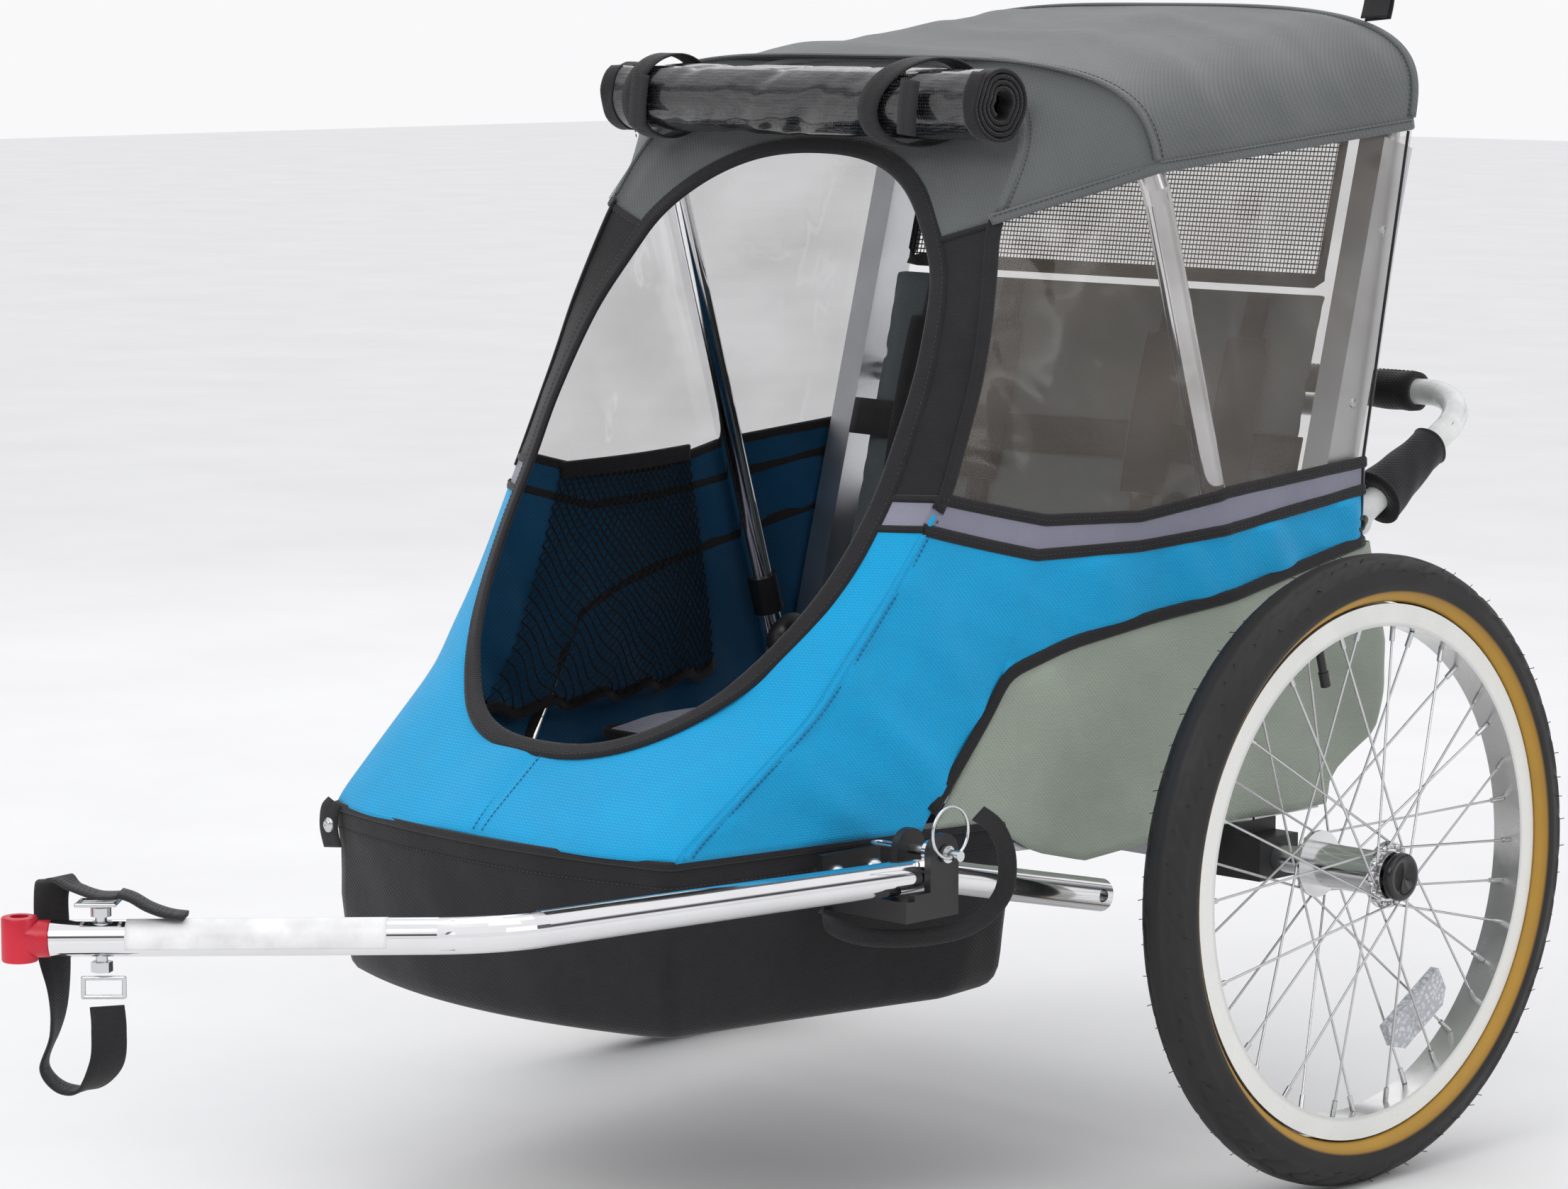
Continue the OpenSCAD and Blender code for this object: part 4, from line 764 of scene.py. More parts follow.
# ------------------------------------------------------------------ rolled rain cover
yc_, zc_ = -228.5, 850.0
xs = np.linspace(-206, 206, 120)
turns, m_ = 4.3, 240
ph = np.linspace(0, turns * 2 * pi, m_)
def roll_r(p, x):
    base_ = 31.5 - 4.6 * p / (2 * pi)
    return base_ + 1.5 * np.sin(3 * p + x / 31.0) * np.sin(x / 47.0 + p) + 0.9 * np.sin(x / 13.0 + 2 * p) + 0.5 * np.sin(x / 5.3 + 5 * p)
def roll_sheet(name, xs, th, mats, dr=0.0):
    X, Pp = np.meshgrid(xs, ph, indexing="ij")
    r = np.minimum(roll_r(Pp, X), 31.6 - 4.6 * Pp / (2 * pi)) + dr
    sx = 1.0
    G = np.stack([X, yc_ + r * np.cos(Pp + 2.2), zc_ + r * np.sin(Pp + 2.2) * 0.96], -1)
    H = np.stack([X, yc_ + (r - th) * np.cos(Pp + 2.2), zc_ + (r - th) * np.sin(Pp + 2.2) * 0.96], -1)
    a_, b_ = G.shape[:2]; m = a_ * b_
    P = np.concatenate([G.reshape(-1, 3), H.reshape(-1, 3)]); F = []
    for i in range(a_ - 1):
        for j in range(b_ - 1):
            q = i * b_ + j
            F.append((q, q + 1, q + b_ + 1, q + b_)); F.append((m + q, m + q + b_, m + q + b_ + 1, m + q + 1))
    rim = [i * b_ for i in range(a_)] + [(a_ - 1) * b_ + j for j in range(1, b_)] + [i * b_ + b_ - 1 for i in range(a_ - 2, -1, -1)] + [j for j in range(b_ - 2, 0, -1)]
    for k in range(len(rim)):
        q, p2 = rim[k], rim[(k + 1) % len(rim)]
        F.append((q, p2, m + p2, m + q))
    return build(name, P, F, mats)

def roll_mat():
    m, t, b = nt_new("rolled_mesh_and_vinyl")
    v = mapped(t, 1.0)
    w1 = node(t, "ShaderNodeTexWave", bands_direction="X"); w1.inputs["Scale"].default_value = 120
    w2 = node(t, "ShaderNodeTexWave", bands_direction="Z"); w2.inputs["Scale"].default_value = 120
    for w in (w1, w2): t.links.new(v, w.inputs["Vector"])
    g = mathn(t, "MAXIMUM", w1.outputs["Fac"], w2.outputs["Fac"])
    s = noise(t, v, 26, 4)
    t.links.new(mixc(t, 0.5, ramp(t, g, [(0.3, (0.022, 0.022, 0.025)), (0.75, (0.006, 0.006, 0.007))]), ramp(t, s, [(0.3, 0.5), (0.7, 1.0)]), "MULTIPLY"), b.inputs["Base Color"])
    t.links.new(ramp(t, s, [(0.3, 0.12), (0.75, 0.42)]), b.inputs["Roughness"])
    b.inputs["Coat Weight"].default_value = 0.9
    b.inputs["Coat Roughness"].default_value = 0.08
    n1 = bump(t, b, g, 0.35, 0.0006)
    bump(t, b, noise(t, mapped(t, (6, 20, 20)), 5, 5), 0.7, 0.006, n1)
    return m
ROLL = roll_mat()
roll = roll_sheet("rain_cover_rolled", xs, 1.5, [ROLL])
cabin(roll, "black_mesh", "rain_cover_roll")
for side, x0, x1 in (("right", -206.9, -193), ("left", 193, 206.9)):
    o = roll_sheet(f"rain_cover_edge_{side}", np.linspace(x0, x1, 8), 3.0, [BIND], 0.7)
    cabin(o, "black_fabric")
sp = []
for x0, dx in ((-160, 8), (122, 26)):
    q = np.linspace(0, 2 * pi, 61)[:-1]
    P = np.stack([x0 + dx * np.cos(q), yc_ + 34.6 * np.cos(q + 0.5), zc_ + 33.6 * np.sin(q + 0.5)], 1)
    sp.append(sweep_data(P, np.tile([1.0, 0, 0], (60, 1)), rrect(21, 2.0, 0.9), True))
    # the free end, hanging on the front
    qq = np.linspace(0, 1, 12)
    P = np.stack([x0 + dx * 0.9 - 4 * qq, yc_ - 36.6 - 1.5 * np.sin(qq * 3), zc_ + 18 - 42 * qq], 1)
    sp.append(sweep_data(P, np.tile([1.0, 0, 0], (12, 1)), rrect(20, 1.8, 0.8)))
o = join("rain_cover_straps", sp, [WEB]); cabin(o, "webbing")

# ------------------------------------------------------------------ mesh pocket: a knotted net on the right wall
def pocket_p(i, z):
    """i from 0 to 1 along, z height; the net bellies inward."""
    s = 0.22 + (0.86 - 0.22) * i
    b = 30 * np.sin(pi * i) * np.clip((541 - z) / 120, 0.25, 1) * np.clip((z - 335) / 25, 0, 1) + 4
    p = side_p(s, z, 0)
    n = np.stack([np.full_like(i, -1.0), np.full_like(i, -0.12), np.zeros_like(i)], -1)
    return p + n * np.minimum(b, 33)[..., None]
parts = []
nu, nv = 46, 38
def pk(i, j):
    zt = 541; zb = 352
    z = zb + (zt - zb) * j / nv
    z = z + 4 * math.sin(i * 0.7) * (1 - j / nv)
    p = pocket_p(np.array([i / nu]), np.array([z]))[0]
    return p * [-1, 1, 1]
grid = {(i, j): pk(i, j) for i in range(nu + 1) for j in range(nv + 1) if (i + j) % 2 == 0}
def thread(a, b, d):
    u = b - a; l = np.linalg.norm(u); u = u / l
    w = np.cross(u, [0.3, 0.2, 1.0]); w /= np.linalg.norm(w); x = np.cross(u, w)
    V_ = [p + (w * c + x * s_) * d for p in (a - u * d * 0.3, b + u * d * 0.3) for c, s_ in ((1, 0), (0, 1), (-1, 0), (0, -1))]
    return V_, [(0, 1, 5, 4), (1, 2, 6, 5), (2, 3, 7, 6), (3, 0, 4, 7), (3, 2, 1, 0), (4, 5, 6, 7)]
for (i, j), p in grid.items():
    for di in (1, -1):
        q = grid.get((i + di, j + 1))
        if q is not None:
            parts.append(thread(p, q, 0.75))
o = join("pocket_net", parts, [NET], smooth=False); cabin(o, "black_mesh", "mesh_pocket")
ii = np.linspace(0, 1, 60)
P = pocket_p(ii, np.full_like(ii, 541.0)) * [-1, 1, 1]
o = sweep("pocket_elastic", P, np.tile([0.0, 0, 1], (60, 1)), rrect(14, 3, 1.3), BIND); cabin(o, "black_fabric")
P = pocket_p(ii, 352 + 4 * np.sin(ii * nu * 0.7)) * [-1, 1, 1]
o = sweep("pocket_bottom_binding", P, np.tile([0.0, 0, 1], (60, 1)), rrect(10, 3, 1.3), BIND); cabin(o, "black_fabric")

# ------------------------------------------------------------------ seat, back and belts
def pad_mesh(name, x0, x1, rows, mats, nx=48):
    """A closed pad: rows is a list of (front point, back point) in y, z; its edges pull in."""
    X = np.linspace(x0, x1, nx)
    P, F = [], []
    nr = len(rows)
    for k in (0, 1):
        for r in range(nr):
            for i, x in enumerate(X):
                (fy, fz), (by, bz) = rows[r]
                e = min(1, min(i, nx - 1 - i) / 3.0) * min(1, min(r, nr - 1 - r) / 2.0)
                e = math.sin(e * pi / 2) ** 0.7
                my, mz = (fy + by) / 2, (fz + bz) / 2
                y, z = (fy, fz) if k == 0 else (by, bz)
                P.append((x, my + (y - my) * (0.22 + 0.78 * e), mz + (z - mz) * (0.22 + 0.78 * e)))
    m = nr * nx
    for r in range(nr - 1):
        for i in range(nx - 1):
            q = r * nx + i
            F.append((q, q + 1, q + nx + 1, q + nx)); F.append((m + q, m + q + nx, m + q + nx + 1, m + q + 1))
    rim = [r * nx for r in range(nr)] + [(nr - 1) * nx + i for i in range(1, nx)] + [r * nx + nx - 1 for r in range(nr - 2, -1, -1)] + [i for i in range(nx - 2, 0, -1)]
    for k in range(len(rim)):
        q, p2 = rim[k], rim[(k + 1) % len(rim)]
        F.append((q, p2, m + p2, m + q))
    return build(name, P, F, mats)

def puff(o, voxel=0.006, pressure=4.0, cap=0.006, frames_=20):
    """Cloth simulation of a stuffed pad, its result applied."""
    bpy.ops.object.select_all(action="DESELECT")
    o.select_set(True); bpy.context.view_layer.objects.active = o
    o.data.remesh_voxel_size = voxel
    bpy.ops.object.voxel_remesh()
    rest = np.array([v.co for v in o.data.vertices], float)
    c = o.modifiers.new("c", "CLOTH"); s = c.settings
    s.use_pressure = True; s.uniform_pressure_force = pressure
    s.effector_weights.gravity = 0.0
    s.quality = 4; s.mass = 0.15
    s.tension_stiffness = s.compression_stiffness = 12
    c.collision_settings.use_collision = False
    c.point_cache.frame_start, c.point_cache.frame_end = 1, frames_
    for f in range(1, frames_ + 1):
        sc.frame_set(f)
    dg = bpy.context.evaluated_depsgraph_get()
    e = o.evaluated_get(dg).to_mesh()
    now = np.array([v.co for v in e.vertices], float)
    o.evaluated_get(dg).to_mesh_clear()
    o.modifiers.remove(c)
    d = now - rest; l = np.linalg.norm(d, axis=1, keepdims=True)
    d *= np.minimum(1, cap / np.maximum(l, 1e-9))
    if not np.isfinite(d).all(): d[:] = 0
    o.data.vertices.foreach_set("co", (rest + d).astype(np.float32).ravel())
    sub = o.modifiers.new("s", "SUBSURF"); sub.levels = sub.render_levels = 1
    bpy.ops.object.modifier_apply(modifier="s")
    o.data.polygons.foreach_set("use_smooth", np.full(len(o.data.polygons), True))
    o.data.update()
    sc.frame_set(1)
    return o

rows = [((-248 + 277 * k / 13, 328 + 2.5 * math.sin(pi * k / 13)), (-248 + 277 * k / 13, 311)) for k in range(14)]
seat = pad_mesh("seat_cushion", -228, 228, rows, [LAV], 40)
puff(seat, 0.006, 4.0, 0.006)
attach(seat, "root"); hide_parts("seat_bottom")
rows = [((upy(z) + 5.0, z), (upy(z) + 12.5, z)) for z in np.linspace(384, 694, 22)]
back = pad_mesh("seat_back_panel", -241, 241, rows, [SEAT], 44)
puff(back, 0.006, 3.0, 0.004)
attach(back, "back"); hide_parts("seat_back")

# seat cushion's binding
rr = 16
P = []
for (cx, cy, a0) in ((212, 12, 0), (-212, 12, 90), (-212, -232, 180), (212, -232, 270)):
    for k in range(8):
        q = math.radians(a0 + 90 * k / 7); P.append((cx + 15.5 * math.cos(q), cy + 15.5 * math.sin(q), 320.0))
P = np.array(P); P = resample(np.r_[P, P[:1]], 8)[:-1]
o = sweep("seat_cushion_binding", P, np.tile([0, 0, 1.0], (len(P), 1)), rrect(9, 4.4, 2), BIND, closed=True)
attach(o, "root")

# belts: vertical straps with pads, the horizontal anchor strap, lap and crotch straps
def plane_strap(x, z0, z1, b, tk, off, mat_parts, wob=0.0):
    z = np.linspace(z0, z1, 40)
    P = np.stack([x + wob * np.sin((z - z0) / 40.0), upy(z) - off - 1.0 * np.sin((z - z0) / 33.0) ** 2, z], 1)
    W = np.tile([1.0, 0, 0], (40, 1))
    mat_parts.append(sweep_data(P, W, rrect(b, tk, tk * 0.42)))
belt, pads_, lap = [], [], []
for x in (-178, -92, 92, 178):
    plane_strap(x, 400, 688, 25, 1.8, 1.4, belt, 1.5)
for x in (-178, -92, 92, 178):
    z = np.linspace(520, 652, 26)
    e = np.sin(np.pi * np.linspace(0.04, 0.96, 26)) ** 0.25
    P = np.stack([np.full_like(z, x), upy(z) - 6.0, z], 1)
    V_, F_ = sweep_data(P, np.tile([1.0, 0, 0], (26, 1)), lambda i, e=e: rrect(46 * (0.75 + 0.25 * e[i]), 9 * e[i], 3.8 * e[i]))
    pads_.append((V_, F_))
z = np.full(60, 562.0); xx = np.linspace(-250, 250, 60)
P = np.stack([xx, upy(562) - 3.4 + 0 * xx - 0.8 * np.sin(xx / 40), z + 1.2 * np.sin(xx / 60)], 1)
belt.append(sweep_data(P, np.tile([0, 0.26, 1.0], (60, 1)), rrect(32, 2.0, 0.9)))
for x in (-135, 135):
    q = np.linspace(0, 1, 30)
    P = catmull(np.array([[x, 30, 345], [x, -10, 338], [x, -80, 337], [x, -120, 342], [x, -128, 372], [x, -112, 392]], float), 6)
    lap.append(sweep_data(P, np.tile([1.0, 0, 0], (len(P), 1)), rrect(25, 1.8, 0.8)))
    for s_ in (-1, 1):
        P = catmull(np.array([[x + s_ * 92, 36, 352], [x + s_ * 84, -20, 348], [x + s_ * 60, -82, 360], [x + s_ * 20, -112, 388]], float), 8)
        lap.append(sweep_data(P, np.tile([0.0, 0.4, 1], (len(P), 1)), rrect(25, 1.8, 0.8)))
o3 = join("lap_webbing", lap, [WEB]); cabin(o3, "webbing")
o = join("harness_webbing", belt, [WEB]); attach(o, "back"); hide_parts("harness")
o2 = join("harness_pads", pads_, [BLACK]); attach(o2, "back")
bk = []
for x in (-135, 135):
    V_, F_ = lathe_data([(-5, 0.01), (-5, 17), (-3, 20), (3, 20), (5, 17), (5, 6), (3.6, 5), (3.6, 0.01)], 40, (0, -0.8, 0.6), (x, -114, 398), closed=False)
    bk.append((V_, F_))
o = join("harness_buckles", bk, [BLACKP]); cabin(o, "black_plastic")

# ------------------------------------------------------------------ rear mesh: woven threads with a bound edge
parts = []
def rm(x, z): return np.array([x, upy(z) + 11.5 - 3.0 * math.sin(pi * (z - 699) / 173) * math.cos(x / 228 * pi / 2), z])
px_, pz_ = 3.8, 3.8
xs_ = np.arange(-226, 226.1, px_); zs_ = np.arange(701, 871, pz_)
for x in xs_:
    Q = [rm(x, z) for z in np.linspace(700, 871, 9)]
    for k in range(8): parts.append(thread(Q[k], Q[k + 1], 0.55))
for z in zs_:
    Q = [rm(x, z) for x in np.linspace(-227, 227, 13)]
    for k in range(12): parts.append(thread(Q[k], Q[k + 1], 0.55))
o = join("rear_mesh_weave", parts, [NET], smooth=False)
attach(o, "back"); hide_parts("rear_mesh")
P = np.array([rm(x, 699) for x in np.linspace(-228, 228, 40)] + [rm(228, z) for z in np.linspace(704, 867, 16)] + [rm(x, 872) for x in np.linspace(228, -228, 40)] + [rm(-228, z) for z in np.linspace(867, 704, 16)])
o = sweep("rear_mesh_binding", resample(np.r_[P, P[:1]], 9)[:-1], np.tile([0, 0.25, 1.0], (len(resample(np.r_[P, P[:1]], 9)[:-1]), 1)) * 1.0 + 0.001, rrect(11, 3.0, 1.3), BIND, closed=True)
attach(o, "back")
rv = []
for s_ in (-1, 1):
    for z in (836, 742, 604, 470):
        rv.append(lathe_data([(-0.6, 4.6), (0.6, 4.4), (1.6, 3.2), (2.1, 1.2), (2.2, 0.01)], 20, (s_, 0, 0), (s_ * 278.0, upy(z) + 19, z), closed=False))
o = join("upright_rivets", rv, [ZINC]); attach(o, "back")

# ------------------------------------------------------------------ tyres with a moulded tread
def tyre(name, sx):
    nth, nph = 660, 46
    th = np.linspace(0, 2 * pi, nth, endpoint=False)[:, None]
    ph_ = np.radians(np.linspace(-128, 128, nph))[None, :]
    d = np.abs(np.degrees(ph_)) + 0 * th
    sg = np.sign(ph_)
    K = 44
    wavy = 21 + 5.5 * np.abs(np.sin(K * th / 2 + (sg > 0) * 0.8))
    g1 = np.exp(-((d - wavy) / 2.6) ** 2)
    g0 = np.exp(-(d / 2.4) ** 2)
    fr = np.mod(K * th / (2 * pi) + 0.35 * np.sin(d / 14.0) + 0.25 * (sg > 0), 1)
    g2 = np.clip(1 - np.abs(fr - 0.5) / 0.13, 0, 1) * np.clip((d - 29) / 4, 0, 1) * np.clip((63 - d) / 4, 0, 1)
    edge = np.clip((66 - d) / 3.5, 0, 1)
    groove = np.clip(np.maximum(np.maximum(g1, g0 * 0.8), g2), 0, 1)
    h = -1.7 * (1 - edge) - 1.7 * groove * edge - 0.25 * np.exp(-((d - 88) / 1.5) ** 2) * -2.2 - 0.3 * np.exp(-((d - 104) / 1.4) ** 2) * -2.0
    R = 23.5 + h - 0.05
    k_in = np.clip((d - 100) / 28, 0, 1)
    r = 226.5 + R * np.cos(ph_); x = R * np.sin(ph_)
    x = x * (1 - 0.33 * k_in); r = np.maximum(r, 209.0 - 3.0 * k_in)
    G = np.stack([sx * 383 + x + 0 * r, r * np.cos(th), 250 + r * np.sin(th)], -1)
    P = G.reshape(-1, 3)
    # inner skin closes the casing
    c = np.stack([sx * 383 + x * 0.82, (226.5 + (r - 226.5) * 0.82 - 0.2) * np.cos(th), 250 + (226.5 + (r - 226.5) * 0.82 - 0.2) * np.sin(th)], -1)[:, ::3]
    n2 = c.shape[1]
    F = []
    for i in range(nth):
        i2 = (i + 1) % nth
        for j in range(nph - 1):
            F.append((i * nph + j, i * nph + j + 1, i2 * nph + j + 1, i2 * nph + j))
    m = nth * nph
    P = np.concatenate([P, c.reshape(-1, 3)])
    for i in range(nth):
        i2 = (i + 1) % nth
        for j in range(n2 - 1):
            F.append((m + i * n2 + j, m + i2 * n2 + j, m + i2 * n2 + j + 1, m + i * n2 + j + 1))
        F.append((i * nph, i2 * nph, m + i2 * n2, m + i * n2))
        F.append((i * nph + nph - 1, m + i * n2 + n2 - 1, m + i2 * n2 + n2 - 1, i2 * nph + nph - 1))
    return build(name, P, F, [TYRE])
for s, sx in (("left", 1), ("right", -1)):
    o = tyre(f"tyre_tread_{s}", sx)
    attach(o, f"wheel_{s}"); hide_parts(f"tyre_{s}")
    # moulding hairs
    hp = []
    for k in range(150):
        q = 2 * pi * k / 150 + 0.013 * math.sin(k * 7.0)
        f = math.radians((38 + 20 * math.sin(k * 12.9898)) * (1 if k % 2 else -1))
        rr_ = 226.5 + 21.6 * math.cos(f); x = 21.6 * math.sin(f)
        rr2 = 226.5 + 26.6 * math.cos(f * 1.25); x2 = 27 * math.sin(f * 1.25)
        rr2 = min(rr2, 249.7)
        a_ = np.array([sx * 383 + x, rr_ * math.cos(q), 250 + rr_ * math.sin(q)]); b_ = np.array([sx * 383 + x2, rr2 * math.cos(q + 0.008), 250 + rr2 * math.sin(q + 0.008)])
        hp.append(thread(a_, b_, 0.33))
    o = join(f"tyre_hairs_{s}", hp, [TYRE], smooth=False)
    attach(o, f"wheel_{s}")
    # spoke nipples and hub cap detail
    hb = []
    hb.append(lathe_data([(44.2, 18.4), (45.6, 18.9), (49.6, 18.7), (50.9, 17.4), (51.2, 13.2), (49.9, 12.4), (49.8, 0.01), (49.2, 0.01), (44.4, 0.01)], 48, (sx, 0, 0), (sx * 376, 0, 250), closed=False))
    o = join(f"hub_cap_rim_{s}", hb, [BLACKG]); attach(o, f"button_{s}"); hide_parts(f"push_button_{s}")
    bt = []
    for k in range(18):
        for f_ in (-1, 1):
            q = 2 * pi * (k + 0.5 * (f_ > 0)) / 18
            c_ = (sx * (376 + f_ * 36.0), 23 * math.cos(q), 250 + 23 * math.sin(q))
            bt.append(lathe_data([(-2.6, 2.2), (2.6, 2.2), (3.1, 1.4), (3.2, 0.01), (-3.2, 0.01)], 12, (1, 0, 0), c_, closed=False))
    o = join(f"spoke_heads_{s}", bt, [STEEL]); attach(o, f"wheel_{s}")

# ------------------------------------------------------------------ handle sleeves
def sleeve(name, A, B, d0, d1, body, node_=None, seed=0.0, W0=(0, 0, 1), flat=1.0):
    A, B = np.array(A, float), np.array(B, float)
    n = 60; P, F = [], []
    ax = (B - A); l = np.linalg.norm(ax); ax /= l
    u = np.array(W0, float) - ax * np.dot(W0, ax); u /= np.linalg.norm(u); w = np.cross(ax, u)
    m_ = 40; rows = []
    for i in range(n):
        s = i / (n - 1)
        for j in range(m_):
            q = 2 * pi * j / m_
            r = (d0 + (d1 - d0) * s) / 2 + 0.7 * math.sin(s * l / 9.0 + 2 * q + seed) * math.sin(q * 2 + s * 5 + seed) + 0.5 * math.sin(s * l / 21.0 + seed) + (0.9 if i in (1, n - 2) else 0)
            rows.append(A + ax * l * s + u * r * math.cos(q) * flat + w * r * math.sin(q))
    for i in range(n):
        s = i / (n - 1)
        for j in range(m_):
            q = 2 * pi * j / m_
            rows.append(A + ax * l * s + (u * math.cos(q) + w * math.sin(q)) * 11.3)
    k = n * m_
    for i in range(n - 1):
        for j in range(m_):
            j2 = (j + 1) % m_
            F.append((i * m_ + j, i * m_ + j2, (i + 1) * m_ + j2, (i + 1) * m_ + j))
            F.append((k + i * m_ + j, k + (i + 1) * m_ + j, k + (i + 1) * m_ + j2, k + i * m_ + j2))
    for j in range(m_):
        j2 = (j + 1) % m_
        F.append((j, k + j, k + j2, j2)); F.append(((n - 1) * m_ + j, (n - 1) * m_ + j2, k + (n - 1) * m_ + j2, k + (n - 1) * m_ + j))
    o = build(name, np.array(rows), F, [BLACK])
    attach(o, body)
    if node_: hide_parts(node_)
    return o
sleeve("handle_grip_sleeve", (-205, 300, 598), (205, 300, 598), 33, 33, "handle", "handle_grip", 0.4)
gs = []
for yy, zz in ((0, 16.9),):
    xg = np.linspace(-203, 203, 120)
    P = np.stack([xg, 300 + 0 * xg, 598 + 17.0 + 0 * xg], 1)
    gs.append(stitch_data(P, np.tile([0, 0, 1.0], (120, 1))))
o = join("handle_grip_stitches", gs, [THREAD]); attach(o, "handle")
for s, sx in (("left", 1), ("right", -1)):
    A = np.array([sx * 269.5, 132, 507.0]); B = np.array([sx * 269.5, 300, 598.0])
    o = sleeve(f"handle_leg_sleeve_{s}", A + (B - A) * 0.17, A + (B - A) * 0.60, 42, 31, "handle", None, 1.0 + sx, (0, -0.5, 1), 1.1)

# ------------------------------------------------------------------ towing arm: label, coupler, straps
arm_a, arm_e = np.array([300, -835, 306.0]), np.array([72, -1034.5, 300.2])
au = (arm_e - arm_a) / np.linalg.norm(arm_e - arm_a)
asd = np.cross([0, 0, 1.0], au); asd /= np.linalg.norm(asd)
aup = np.cross(au, asd) * 1.0
if aup[2] < 0: aup = -aup
P, F = [], []
ns, nq = 40, 22
for k in (0, 1):
    rr_ = 12.7 + (0.38 if k == 0 else 0.04)
    for i in range(ns):
        s = 52 + 178 * i / (ns - 1)
        for j in range(nq):
            q = math.radians(-28 + 122 * j / (nq - 1))
            P.append(arm_e - au * s + (asd * math.cos(q) + aup * math.sin(q)) * rr_)
m = ns * nq
for i in range(ns - 1):
    for j in range(nq - 1):
        q = i * nq + j
        F.append((q, q + 1, q + nq + 1, q + nq)); F.append((m + q, m + q + nq, m + q + nq + 1, m + q + 1))
rim = [i * nq for i in range(ns)] + [(ns - 1) * nq + j for j in range(1, nq)] + [i * nq + nq - 1 for i in range(ns - 2, -1, -1)] + [j for j in range(nq - 2, 0, -1)]
for k in range(len(rim)):
    q, p2 = rim[k], rim[(k + 1) % len(rim)]
    F.append((q, p2, m + p2, m + q))
o = build("arm_label", np.array(P), F, [LABEL]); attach(o, "arm")

# coupler: moulded urethane, its neck as wide as the tube
c_ = arm_e + au * 22
def solid_from(name, V_, F_, mat):
    return build(name, V_, F_, mat)
V1, F1 = lathe_data([(-15.5, 6.4), (-15.5, 10.9), (-15.2, 11.9), (-14.0, 12.5), (14.0, 12.5), (15.2, 11.9), (15.5, 10.9), (15.5, 6.4)], 64, (0, 0, 1), c_)
cyl = build("hitch_coupler_moulding", V1, F1, [RED], mm=True)
V2, F2 = lathe_data([(0.3, 0.01), (0.3, 11.9), (0.9, 12.55), (3.0, 12.7), (8.0, 12.7), (22, 12.1), (22, 0.01)], 64, au, arm_e, closed=False)
neck = build("neck_tmp", V2, F2, [RED])
V3, F3 = lathe_data([(-20, 0.01), (-20, 6.4), (20, 6.4), (20, 0.01)], 64, (0, 0, 1), c_, closed=False)
hole = build("hole_tmp", V3, F3, [RED])
V4, F4 = lathe_data([(-16.5, 0.01), (-16.5, 12.35), (16.5, 12.35), (16.5, 0.01)], 64, (0, 0, 1), c_, closed=False)
for o_, md in ((neck, "UNION"), (hole, "DIFFERENCE")):
    b_ = cyl.modifiers.new("b", "BOOLEAN"); b_.operation = md; b_.object = o_; b_.solver = "EXACT"
    bpy.context.view_layer.objects.active = cyl
    bpy.ops.object.modifier_apply(modifier="b")
for o_ in (neck, hole): bpy.data.objects.remove(o_)
shade(cyl, 40)
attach(cyl, "coupler"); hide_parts("hitch_coupler")

bolt = arm_e - au * 34
def along(q): return bolt + au * q[0] - asd * q[1] + np.array([0, 0, q[2]])
SP = np.array([along(q) for q in [[-3, 0, -47], [-4, 0, -63], [-2, 0, -86], [12, 2, -104], [30, 4, -104], [42, 6, -90], [36, 10, -68], [36, 26, -42], [40, 31, -8], [40, 29, 26], [33, 20, 38], [20, 9, 34], [2, 2, 29.5], [-14, 0, 29.5]]])
SW = np.array([au * (1 - k) + asd * k for k in [0, 0.1, 0.3, 0.6, 0.9, 1, 1, 0.7, 0.3, 0, 0.6, 1, 1, 1]])
sp_ = catmull(SP, 9); sw_ = catmull(SW, 9)
V_, F_ = sweep_data(sp_, sw_, rrect(24, 2.4, 1.1))
Pf, tf, Wf, Nf = frames(sp_, sw_, False)
st = [stitch_data(Pf[3:12] + Nf[3:12] * 1.2 + Wf[3:12] * o_, Nf[3:12]) for o_ in (-8, 0, 8)] + [stitch_data(Pf[-14:-4] + Nf[-14:-4] * 1.2 + Wf[-14:-4] * o_, Nf[-14:-4]) for o_ in (-8, 8)]
# the doubled end of the webbing stands up over the upper ring
EP = catmull(np.array([along(q) for q in [[-13, 0, 31], [-22, 0, 28], [-33, 0, 21.5], [-46, 0, 16.8], [-58, 0, 15.0]]]), 6)
V5, F5 = sweep_data(EP, np.tile(asd, (len(EP), 1)), rrect(24, 3.4, 1.5))
o = join("safety_strap_webbing", [(V_, F_), (V5, F5)], [WEB])
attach(o, "arm"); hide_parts("safety_strap")
o = join("safety_strap_stitches", st, [THREAD]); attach(o, "arm")

TP = np.array([[333, -390, 338], [338, -376, 326], [340, -366, 302], [336, -367, 274], [321, -383, 252], [296, -410, 243], [266, -438, 243], [246, -452, 250], [236, -456, 262]], float)
TW = np.array([[0.5, 0.2, 1], [0.7, 0.4, 0.6], [0.9, 0.6, 0.2], [0.8, 0.6, -0.3], [0.4, 0.6, -0.7], [0.3, 0.5, -0.9], [0.3, 0.3, -0.9], [0.4, 0.3, -0.9], [0.4, 0.3, -0.9]], float)
V_, F_ = sweep_data(catmull(TP, 9), catmull(TW, 9), rrect(14, 2.0, 0.9))
o = join("pin_tether_webbing", [(V_, F_)], [WEB])
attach(o, "root"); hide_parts("pin_tether")

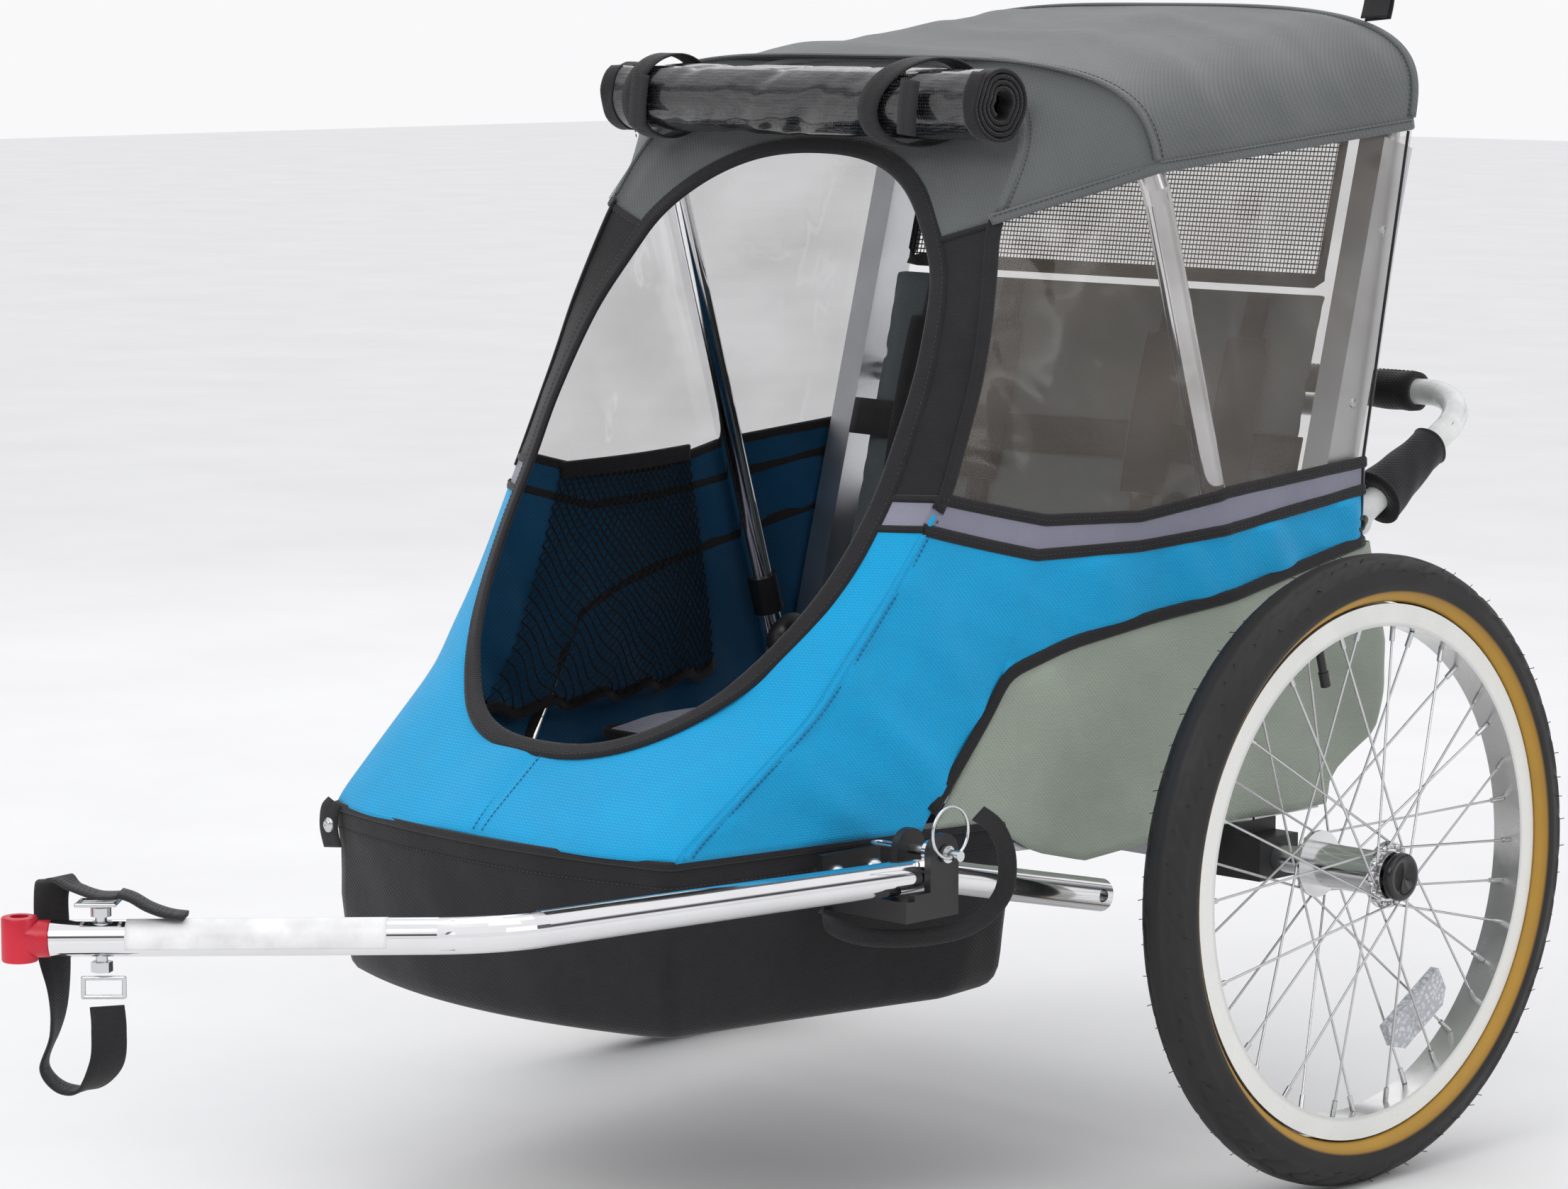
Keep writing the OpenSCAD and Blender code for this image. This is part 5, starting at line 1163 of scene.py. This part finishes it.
# ------------------------------------------------------------------ small parts
tb = catmull(np.array([[-183, -570, 306], [-185, -573.5, 300], [-186, -574, 285], [-185, -571, 270]], float), 6)
o = join("tray_snap_tab", [sweep_data(tb, np.tile([1.0, 0.1, 0], (len(tb), 1)), rrect(20, 2.0, 0.9))], [WEB]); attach(o, "root")
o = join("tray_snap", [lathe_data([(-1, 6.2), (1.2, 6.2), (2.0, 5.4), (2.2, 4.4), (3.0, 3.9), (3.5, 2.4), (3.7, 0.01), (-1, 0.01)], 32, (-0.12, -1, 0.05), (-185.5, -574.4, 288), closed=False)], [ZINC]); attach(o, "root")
fl = catmull(np.array([[232, 196, 913], [230, 203, 926], [227, 210, 945], [226, 216, 950], [225, 218, 944], [228, 211, 924], [231, 203, 911]], float), 7)
o = join("flag_loop", [sweep_data(fl, np.tile([1.0, 0.15, 0], (len(fl), 1)), rrect(24, 1.9, 0.85))], [WEB]); cabin(o, "webbing")
for s, sx in (("left", 1), ("right", -1)):
    o = join(f"grommet_{s}", [lathe_data([(-0.8, 3.2), (-0.8, 6.4), (0.8, 6.4), (1.5, 5.4), (1.5, 3.9), (0.8, 3.2)], 28, (sx, 0, 0), (sx * 284.6, 121, 506))], [BLACKP]); cabin(o, "black_plastic")

# ------------------------------------------------------------------ own mesh data for the cabin pieces, sharp edges on the imported parts
for o in FOLD:
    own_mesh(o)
for k, o in N.items():
    if not o.hide_render:
        shade(o, 32)

# ------------------------------------------------------------------ floor and lights
m, t, b = nt_new("pale_floor")
v = mapped(t, 1.0)
t.links.new(ramp(t, noise(t, v, 3, 4), [(0.3, (0.83, 0.83, 0.83)), (0.7, (0.87, 0.87, 0.87))]), b.inputs["Base Color"])
b.inputs["Roughness"].default_value = 0.85
bpy.ops.mesh.primitive_plane_add(size=40, location=(0, 0, -0.0006))
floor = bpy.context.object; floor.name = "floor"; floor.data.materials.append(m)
w = bpy.data.worlds.new("w"); sc.world = w; w.use_nodes = True
wt = w.node_tree; bg = wt.nodes["Background"]
tc = wt.nodes.new("ShaderNodeTexCoord"); sx_ = wt.nodes.new("ShaderNodeSeparateXYZ"); rp = wt.nodes.new("ShaderNodeValToRGB")
wt.links.new(tc.outputs["Generated"], sx_.inputs[0]); wt.links.new(sx_.outputs[2], rp.inputs["Fac"])
rp.color_ramp.elements[0].position = 0.0; rp.color_ramp.elements[0].color = (0.86, 0.86, 0.87, 1)
rp.color_ramp.elements[1].position = 0.9; rp.color_ramp.elements[1].color = (0.96, 0.96, 0.98, 1)
for p_, c_2 in ((0.15, (0.90, 0.90, 0.91, 1)), (0.22, (0.06, 0.06, 0.07, 1)), (0.34, (0.10, 0.10, 0.11, 1)), (0.44, (0.96, 0.96, 0.98, 1))):
    e = rp.color_ramp.elements.new(p_); e.color = c_2
wt.links.new(rp.outputs["Color"], bg.inputs["Color"]); bg.inputs["Strength"].default_value = 1.1
def area(name, loc, target, size, energy, col=(1, 1, 1)):
    l = bpy.data.lights.new(name, "AREA"); l.shape = "RECTANGLE"; l.size, l.size_y = size; l.energy = energy; l.color = col
    o = bpy.data.objects.new(name, l); sc.collection.objects.link(o); o.location = loc
    o.rotation_euler = (Vector(target) - Vector(loc)).to_track_quat("-Z", "Y").to_euler()
area("key", (0.6, -3.4, 2.9), (0, -0.1, 0.5), (2.4, 1.6), 34)
area("fill", (3.6, 0.6, 1.9), (0, 0.1, 0.5), (2.0, 2.0), 16)
area("top", (0.2, 0.4, 3.4), (0, 0, 0.4), (2.6, 2.6), 12)
area("back", (-2.6, 2.2, 2.2), (0, 0, 0.5), (2.4, 1.6), 8)
sc.view_settings.view_transform = "Standard"
sc.view_settings.look = "None"
